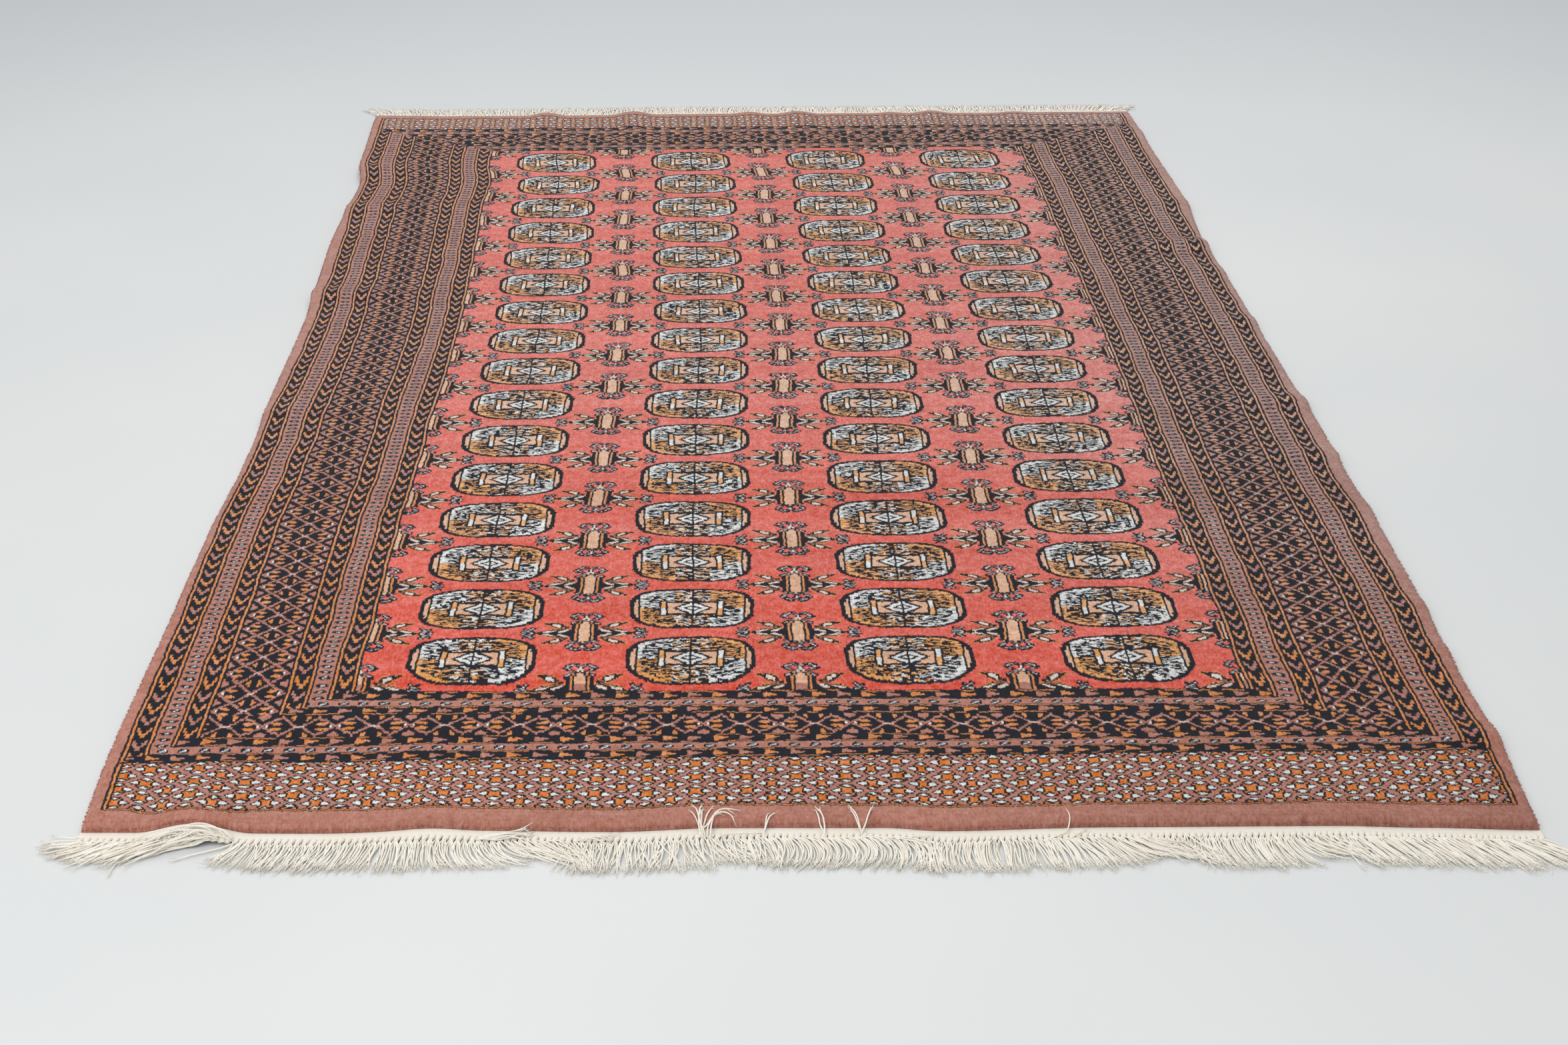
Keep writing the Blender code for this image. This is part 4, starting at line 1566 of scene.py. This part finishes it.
def make_knots(name, which, material):
    """A bead at each knot's place, sheared to the side and each a little different in size."""
    rng = np.random.default_rng(FRINGE_SEED + 1)
    middles = knot_middles(which)
    count = len(middles)
    x, y, rise = rim_place(which, middles)
    sign = outward_sign(which)
    uneven_out = rng.uniform(-KNOT_UNEVEN_OUT, KNOT_UNEVEN_OUT, count)
    out = WEB_FLAT + NECK + BEAD_MIDDLE * KNOT_LENGTH + uneven_out
    size = np.stack([
        KNOT_BREADTH * rng.uniform(*BREADTHS, count),
        KNOT_LENGTH * rng.uniform(*LENGTHS, count),
        KNOT_THICK * rng.uniform(*THICKNESSES, count),
    ], axis=-1)
    uneven_aside = rng.uniform(-KNOT_UNEVEN_ASIDE, KNOT_UNEVEN_ASIDE, count)
    middle = np.stack([x - KNOT_SLANT * NECK + uneven_aside, y + sign * out,
                       rise * KNOT_LIFT_LEFT + 0.5 * size[:, 2]], axis=-1)
    unit, unit_faces = bead()
    placed = unit[None] * size[:, None]
    placed[..., 0] += KNOT_SLANT * placed[..., 1] * -sign
    placed += middle[:, None]
    faces = [[corner + number * len(unit) for corner in face]
             for number in range(count) for face in unit_faces]
    item = mesh_object(name, placed.reshape(-1, 3) + CORNER, faces, material)
    spread = np.zeros((len(item.data.loops), 2))
    spread[:, 1] = 0.8
    add_map(item, "spun", spread)
    return item


# %% [markdown]
# ## The yarns
#
# A tube carried along each path makes the yarn. Its ring of points stands square to the path: the path's
# direction crossed with straight up gives sideways, and sideways crossed with the direction gives up. At
# its end a yarn thins out and opens into a few fine strands, which are tubes of the same kind.


# %% Tubes along many paths at once
def tube_arrays(paths, radii, sides):
    """Points, side faces and caps of tubes.

    Each ring's points are centre + radius * (cos a * sideways + sin a * up).
    """
    count, steps, _ = paths.shape
    way = np.gradient(paths, axis=1)
    way /= np.maximum(np.linalg.norm(way, axis=-1, keepdims=True), 1e-9)
    sideways = np.cross(way, [0.0, 0.0, 1.0])
    sideways /= np.maximum(np.linalg.norm(sideways, axis=-1, keepdims=True), 1e-6)
    up = np.cross(sideways, way)
    angle = np.linspace(0, 2 * math.pi, sides, endpoint=False)[None, None, :, None]
    ring = np.cos(angle) * sideways[:, :, None] + np.sin(angle) * up[:, :, None]
    points = paths[:, :, None] + radii[:, :, None, None] * ring
    number = np.arange(count * steps * sides).reshape(count, steps, sides)
    ahead = np.roll(number, -1, axis=2)
    quads = np.stack([number[:, :-1], number[:, 1:], ahead[:, 1:], ahead[:, :-1]], axis=-1).reshape(-1, 4)
    caps = np.concatenate([number[:, 0], number[:, -1, ::-1]])
    return points.reshape(-1, 3), quads, caps


def make_tubes(name, paths, radii, sides, material):
    """Tubes as one object, with a map of tube number plus the way round, and metres along the tube."""
    count, steps, _ = paths.shape
    points, quads, caps = tube_arrays(paths, radii, sides)
    item = mesh_object(name, points + CORNER, [*quads.tolist(), *caps.tolist()], material)
    lengths = np.linalg.norm(np.diff(paths, axis=1), axis=-1).sum(axis=1)
    tube, step, side = np.meshgrid(np.arange(count), np.arange(steps - 1), np.arange(sides), indexing="ij")
    around = np.stack([side, side, side + 1, side + 1], axis=-1) / sides * 0.98 + tube[..., None]
    along = np.stack([step, step + 1, step + 1, step], axis=-1) / (steps - 1) * lengths[:, None, None, None]
    of_quads = np.stack([around, along], axis=-1).reshape(-1, 2)
    of_caps = np.repeat(np.tile(np.arange(count) + 0.5, 2), sides)
    of_caps = np.stack([of_caps, np.zeros_like(of_caps)], axis=-1)
    add_map(item, "spun", np.concatenate([of_quads, of_caps]))
    return item


# %% [markdown]
# A path starts at the lower end of its knot. Its heading is a blend of three angles: root, middle and tip.
# Each step moves it that way. Its height is that of whatever lies below it, smoothed, plus its place in
# the heap. Yarns of one knot leave it close together and spread to their own places beside each other.


# %% How yarns leave their knots and lie on each other
YARN_START = 0.74
LEAVING_SHARE = 0.10
SPREADING_SHARE = 0.2
CLOSE_TOGETHER = 0.0005
ROOT_HEIGHT = 0.0018
HEAP_AT_ROOT = 0.35
HELD_UP_FROM = 0.08

# How untidy yarns are, in degrees: those of a knot together, one yarn, each step of it, and one astray.
KNOT_UNTIDY = 6.0
YARN_UNTIDY = 9.0
STEP_UNTIDY = 3.2
ASTRAY = 30.0
ASTRAY_SHARE = 0.10
YARN_FAN = 4.0
READ_UNTIDY = 0.003
UPPER_YARN = 0.0012
HEAP_SHARE = 0.8
LENGTH_SHARES = (0.84, 1.06)
STRAY_UNTIDY = 4.0
STRAY_LOWEST = 0.0006
STRAY_HEAP_SHARES = (0.3, 1.0)
STRAY_LENGTH_SHARES = (0.85, 1.05)

# Yarns differ in thickness, and thin out in the last part of their length.
YARN_SIZES = (0.86, 1.12)
THINNING_FROM = 0.70
THINNING = 0.8


# %% Paths of the yarns
def smoothed(values, rounds):
    """Each value becomes a quarter of both neighbours and half of itself, over and over."""
    for _ in range(rounds):
        padded = np.pad(values, ((0, 0), (1, 1)), mode="edge")
        values = 0.25 * padded[:, :-2] + 0.5 * padded[:, 1:-1] + 0.25 * padded[:, 2:]
    return values


def lay_paths(which, middles, spot, heading, length, heap):
    """Paths from headings in degrees (yarn by step), and a place in the heap for each yarn."""
    count, steps = heading.shape
    s = np.linspace(0, 1, steps)[None]
    sign = outward_sign(which)
    x0, y0, rise = rim_place(which, middles)
    start_out = WEB_FLAT + NECK + YARN_START * KNOT_LENGTH
    stride = (length / (steps - 1))[:, None]
    angle = np.radians(heading)
    step_x = np.sin(angle) * stride
    step_y = np.cos(angle) * stride * sign
    apart = CLOSE_TOGETHER + (YARN_APART - CLOSE_TOGETHER) * np.clip(s / SPREADING_SHARE, 0, 1)
    beside = spot[:, None] * apart
    start_x = x0[:, None] - KNOT_SLANT * 0.8 * KNOT_LENGTH
    start_y = (y0 + sign * start_out)[:, None]
    x = start_x + np.cumsum(step_x, axis=1) - step_x + beside * np.cos(angle)
    y = start_y + np.cumsum(step_y, axis=1) - step_y - beside * np.sin(angle) * sign
    below = ground_level(which, x, y)
    leave = ease(np.clip(s / LEAVING_SHARE, 0, 1))
    root_level = rise[:, None] * KNOT_LIFT_LEFT + ROOT_HEIGHT
    arch = np.sin(math.pi * np.clip(0.15 + s, 0, 1)) ** 0.5
    lying = smoothed(below, 2) + heap[:, None] * (HEAP_AT_ROOT + (1 - HEAP_AT_ROOT) * arch)
    z = (1 - leave) * root_level + leave * lying
    z = np.maximum(smoothed(z, 1), np.where(s > HELD_UP_FROM, below, 0)) + YARN_RADIUS
    return np.stack([x, y, z], axis=-1)


def blend_heading(root, middle, tip, steps):
    """Heading along a yarn = root (1-s)^2 + 2 middle s (1-s) + tip s^2."""
    s = np.linspace(0, 1, steps)[None]
    return root * (1 - s) ** 2 + 2 * middle * s * (1 - s) + tip * s * s


def fringe_paths(which, table, rng):
    """Paths of all yarns of one end, read from its table, with the untidiness that the table asks for."""
    knots = knot_middles(which)
    middles = np.repeat(knots, YARNS_PER_KNOT)
    count = len(middles)
    spot = np.tile(np.arange(YARNS_PER_KNOT), len(knots)) - 0.5 * (YARNS_PER_KNOT - 1)
    at = [row.at for row in table]
    read_at = middles + rng.normal(0, READ_UNTIDY, count)

    def read(name):
        return eased(at, [getattr(row, name) for row in table], read_at)

    loose = read("loose")[:, None]
    root, middle, tip = (read(name)[:, None] for name in ("root", "middle", "tip"))
    heading = blend_heading(root, middle, tip, YARN_STEPS)
    s = np.linspace(0, 1, YARN_STEPS)[None]
    of_knot = np.repeat(rng.normal(0, KNOT_UNTIDY, len(knots)), YARNS_PER_KNOT)[:, None]
    drift = rng.normal(0, STEP_UNTIDY, (count, YARN_STEPS)).cumsum(axis=1)
    astray = rng.normal(0, ASTRAY, (count, 1)) * (rng.uniform(0, 1, (count, 1)) < ASTRAY_SHARE * loose)
    of_yarn = rng.normal(0, YARN_UNTIDY, (count, 1))
    heading = heading + loose * (of_knot * (0.4 + s) + drift + of_yarn * s) + astray * s
    heading = heading + YARN_FAN * spot[:, None] * (1 - s)
    upper = (spot % 2 == 0).astype(float)
    heap = upper * UPPER_YARN + read("heaped") * rng.uniform(0, 1, count) ** 2.0 * HEAP_SHARE
    length = read("length") * rng.uniform(*LENGTH_SHARES, count)
    return lay_paths(which, middles, spot, heading, length, heap)


def stray_paths(rng):
    """Paths of the yarns that have come up over the near edge, bunch by bunch."""
    found = []
    for row in STRAYS:
        order = np.linspace(-0.5, 0.5, row.yarns) if row.yarns > 1 else np.zeros(1)
        middles = row.at + row.spread * order
        fan = row.fan * order[:, None] * np.linspace(0.15, 1.0, YARN_STEPS)[None] ** 0.8
        heading = blend_heading(row.root, row.middle, row.tip, YARN_STEPS) + fan
        heading = heading + rng.normal(0, STRAY_UNTIDY, (row.yarns, YARN_STEPS)).cumsum(axis=1)
        heap = STRAY_LOWEST + row.heaped * rng.uniform(*STRAY_HEAP_SHARES, row.yarns)
        length = row.length * rng.uniform(*STRAY_LENGTH_SHARES, row.yarns)
        found.append(lay_paths("near", middles, np.zeros(row.yarns), heading, length, heap))
    return np.concatenate(found)


def yarn_radii(rng, count):
    """A yarn keeps its thickness for most of its length, and then thins to a fifth of it at the tip."""
    along = np.linspace(0, 1, YARN_STEPS)[None]
    thinned = 1 - THINNING * np.clip((along - THINNING_FROM) / (1 - THINNING_FROM), 0, 1) ** 1.4
    return YARN_RADIUS * rng.uniform(*YARN_SIZES, (count, 1)) * thinned


STRANDS_PER_YARN = 3
STRAND_STEPS = 5
STRAND_RADIUS = 0.00038
STRAND_LENGTHS = (0.006, 0.013)
STRAND_LIFTS = (-0.0012, 0.0016)
STRAND_TURN = 0.30
STRAND_WANDER = 0.16
STRAND_FALL = 0.4


def strand_paths(paths, rng):
    """The frayed tips: fine strands that leave the last part of a yarn at their own headings."""
    count = len(paths)
    from_step = rng.integers(YARN_STEPS - 5, YARN_STEPS - 2, (count, STRANDS_PER_YARN))
    start = paths[np.arange(count)[:, None], from_step]
    way = paths[np.arange(count)[:, None], from_step + 1] - start
    heading = np.arctan2(way[..., 1], way[..., 0])[..., None]
    turn = rng.normal(0, STRAND_TURN, (count, STRANDS_PER_YARN, 1))
    turn = turn + rng.normal(0, STRAND_WANDER, (count, STRANDS_PER_YARN, STRAND_STEPS)).cumsum(-1)
    reach = rng.uniform(*STRAND_LENGTHS, (count, STRANDS_PER_YARN, 1))
    step = reach / (STRAND_STEPS - 1)
    none = np.zeros_like(reach)
    x = start[..., :1] + np.concatenate([none, (np.cos(heading + turn) * step)[..., 1:]], -1).cumsum(-1)
    y = start[..., 1:2] + np.concatenate([none, (np.sin(heading + turn) * step)[..., 1:]], -1).cumsum(-1)
    s = np.linspace(0, 1, STRAND_STEPS)
    lift = rng.uniform(*STRAND_LIFTS, (count, STRANDS_PER_YARN, 1))
    z = start[..., 2:3] * (1 - STRAND_FALL * s) + lift * s
    points = np.stack([x, y, z], axis=-1).reshape(-1, STRAND_STEPS, 3)
    points[..., 2] = np.maximum(points[..., 2], STRAND_RADIUS)
    return points


# %% [markdown]
# ## The cotton's finish
#
# Undyed cotton is cream, a little yellower where it is thick and nearly white where single yarns have
# frayed. Each yarn is two threads twisted together, which shows as fine slanting ridges, made here by a
# bump that winds round as it goes along. The web and the knots are of the same cotton and share its
# colours. They get the small ribs of a weave, and the web's ledge under the knots is painted dark:
# painted shade in the slits between them.

# %% Cotton for the yarns, and for the web and the knots
COTTON_LIGHT = srgb(253, 249, 240)
COTTON_WARM = srgb(244, 234, 216)
# The ledge's colour is painted shade, dark so that the slits between the knots look deep.
COTTON_PAINTED_SHADE = srgb(96, 80, 66)
COTTON_FINISH = (0.9, 0.12, 0.5)
TWIST_PITCH = 0.0032
RIB_PITCHES = (0.0010, 0.0016)
PAINTED_SHADE_FROM = 1.05


def make_yarn_cotton():
    """Twisted cotton yarn: a slanting ridge every 3.2 mm, and a tone of its own for each yarn."""
    material, tree, shader = new_material("twisted_cotton")
    around, along = map_place(tree, "spun")
    yarn = whole(around)
    own = scatter(tree, joined(tree, yarn, 0.0))
    stain = noise(tree, joined(tree, yarn * 3.7, along * 70), 1.0, 2.0)
    tone = held(0.48 + 0.55 * own + 0.7 * (stain - 0.5))
    tree.links.new(blended(tree, tone, COTTON_WARM, COTTON_LIGHT), shader.inputs["Base Color"])
    ply = worked("SINE", (around * 2 + along / TWIST_PITCH) * (2 * math.pi))
    bumped(tree, ply * 0.5 + stain, 0.5, 0.0003, shader)
    soften(shader, *COTTON_FINISH)
    return material


def make_web_cotton():
    """Woven cotton: small ribs across and along, and painted shade on the dark ledge under the knots."""
    material, tree, shader = new_material("woven_cotton")
    x, y, _ = parted(tree, own_place(tree))
    _, depth = map_place(tree, "spun")
    cloud = noise(tree, joined(tree, x * 300, y * 300), 1.0, 3.0)
    broad = noise(tree, joined(tree, x * 14, y * 14, 3.0), 1.0, 2.0)
    tone = held(0.62 + 0.7 * (cloud - 0.5) + 0.6 * (broad - 0.5))
    unshaded_cotton = blended(tree, tone, COTTON_WARM, COTTON_LIGHT)
    # Painted shade: the ledge below the slits is coloured dark.
    painted_shade = held((depth - PAINTED_SHADE_FROM) * 3)
    tree.links.new(blended(tree, painted_shade, unshaded_cotton, COTTON_PAINTED_SHADE), shader.inputs["Base Color"])
    rib_x, rib_y = (2 * math.pi / pitch for pitch in RIB_PITCHES)
    ribs = worked("SINE", x * rib_x) * worked("SINE", y * rib_y)
    bumped(tree, ribs * 0.5 + cloud, 0.6, 0.0004, shader)
    soften(shader, *COTTON_FINISH)
    return material


yarn_cotton = make_yarn_cotton()
web_cotton = make_web_cotton()

# %% Both fringes
on_the_rug = []
for which, table in (("near", NEAR_LIE), ("far", FAR_LIE)):
    rng = np.random.default_rng(FRINGE_SEED)
    paths = fringe_paths(which, table, rng)
    pieces = [
        make_web(f"web_{which}", which, web_cotton),
        make_knots(f"knots_{which}", which, web_cotton),
        make_tubes(f"yarns_{which}", paths, yarn_radii(rng, len(paths)), YARN_SIDES, yarn_cotton),
    ]
    if which == "near":
        strays = stray_paths(rng)
        radii = yarn_radii(rng, len(strays))
        pieces.append(make_tubes("stray_yarns", strays, radii, YARN_SIDES, yarn_cotton))
        paths = np.concatenate([paths, strays])
    strands = strand_paths(paths, rng)
    thinning = STRAND_RADIUS * np.linspace(1.0, 0.4, STRAND_STEPS)[None].repeat(len(strands), axis=0)
    pieces.append(make_tubes(f"frayed_tips_{which}", strands, thinning, 3, yarn_cotton))
    for piece in pieces:
        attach(piece, "root")
        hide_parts(f"fringe_{which}")
    on_the_rug += pieces
    print(which, "fringe:", [(piece.name, len(piece.data.polygons)) for piece in pieces])

# %% [markdown]
# ## Wool at the edges
#
# The pile's edge isn't a clean curve. Tufts lean out over the web and over the sides, and hide the line
# where wool meets cotton. Hair particles would do for a picture, but they aren't a mesh that can be kept.
# So each tuft is a short tapered tube with a knee, which rises with the pile's slope and droops at its tip:
# height = length * (share along * sine of its slope - droop * share along squared). All its faces are at
# one place on the weave's map, so that it has the colour of the knot it grows from.

# %% Tufts along the four edges
TUFTS_PER_METRE = {"near": 1300, "far": 700, "left": 1200, "right": 1200}
TUFT_ROOM = 0.0016
TUFT_LENGTHS = (0.0010, 0.0024)
TUFT_RADIUS = 0.00050
TUFT_SIDES = 3
TUFT_DROOP = 0.30
# Radians: how far tufts turn from straight out, how they rise at the rim and inside, and how unevenly.
TUFT_UNEVEN = 0.5
TUFT_SLOPE_AT_RIM = 0.05
TUFT_SLOPE_GAIN = 0.4
TUFT_SLOPE_UNEVEN = 0.1
TUFT_SEED = 31


def tuft_roots(edge, rng):
    """Places in the weave along one edge, and the way out of the rug there, as unit vectors."""
    reach = PILE_WIDTH if edge in ("near", "far") else PILE_LENGTH
    count = int(reach * TUFTS_PER_METRE[edge])
    place = rng.uniform(0.002, reach - 0.002, count)
    inward = rng.uniform(0.0002, TUFT_ROOM, count)
    across, along, out = {
        "near": (place, inward, (0.0, -1.0)),
        "far": (place, PILE_LENGTH - inward, (0.0, 1.0)),
        "left": (inward, place, (-1.0, 0.0)),
        "right": (PILE_WIDTH - inward, place, (1.0, 0.0)),
    }[edge]
    return across, along, inward, np.tile(out, (count, 1))


def tuft_paths(edge, rng):
    """Three points for each tuft of one edge, with its place in the weave."""
    across, along, inward, out = tuft_roots(edge, rng)
    x, y = plan_place(across, along)
    rise = floor_clearance(across, along)
    height = PILE_THICKNESS * roll_profile(inward)
    turn = rng.normal(0.0, TUFT_UNEVEN, len(x))
    way = np.stack([out[:, 0] * np.cos(turn) - out[:, 1] * np.sin(turn),
                    out[:, 0] * np.sin(turn) + out[:, 1] * np.cos(turn)], axis=-1)
    slope = (TUFT_SLOPE_AT_RIM + TUFT_SLOPE_GAIN * inward / TUFT_ROOM
             + rng.normal(0.0, TUFT_SLOPE_UNEVEN, len(x)))
    length = rng.uniform(*TUFT_LENGTHS, len(x))
    share = np.array([0.0, 0.5, 1.0])
    run = (length * np.cos(slope))[:, None, None] * share[:, None]
    flat = np.stack([x, y], axis=-1)[:, None] + run * way[:, None]
    lift = length[:, None] * (share * np.sin(slope)[:, None] - TUFT_DROOP * share ** 2)
    rest = (rise + (WEB_THICKNESS if edge in ("near", "far") else 0.0) + 3 * TUFT_RADIUS)[:, None]
    level = np.maximum((rise + height - TUFT_RADIUS)[:, None] + lift, rest)
    return np.concatenate([flat, level[..., None]], axis=-1), np.stack([across, along], axis=-1)


def make_tufts(material):
    """All tufts as one object, with the weave's map."""
    rng = np.random.default_rng(TUFT_SEED)
    grown = [tuft_paths(edge, rng) for edge in TUFTS_PER_METRE]
    paths, places = (np.concatenate(parts) for parts in zip(*grown))
    radii = TUFT_RADIUS * rng.uniform(0.7, 1.2, (len(paths), 1)) * np.array([1.0, 0.85, 0.3])
    points, quads, caps = tube_arrays(paths, radii, TUFT_SIDES)
    item = mesh_object("edge_tufts", points + CORNER, [*quads.tolist(), *caps.tolist()], material)
    of_quads = np.repeat(places, 2 * TUFT_SIDES * 4, axis=0)
    of_caps = np.tile(np.repeat(places, TUFT_SIDES, axis=0), (2, 1))
    add_map(item, "woven", np.concatenate([of_quads, of_caps]))
    return item


tufts = make_tufts(wool)
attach(tufts, "root")
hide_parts("rug")
on_the_rug.append(tufts)
print("edge tufts:", len(tufts.data.polygons), "faces")
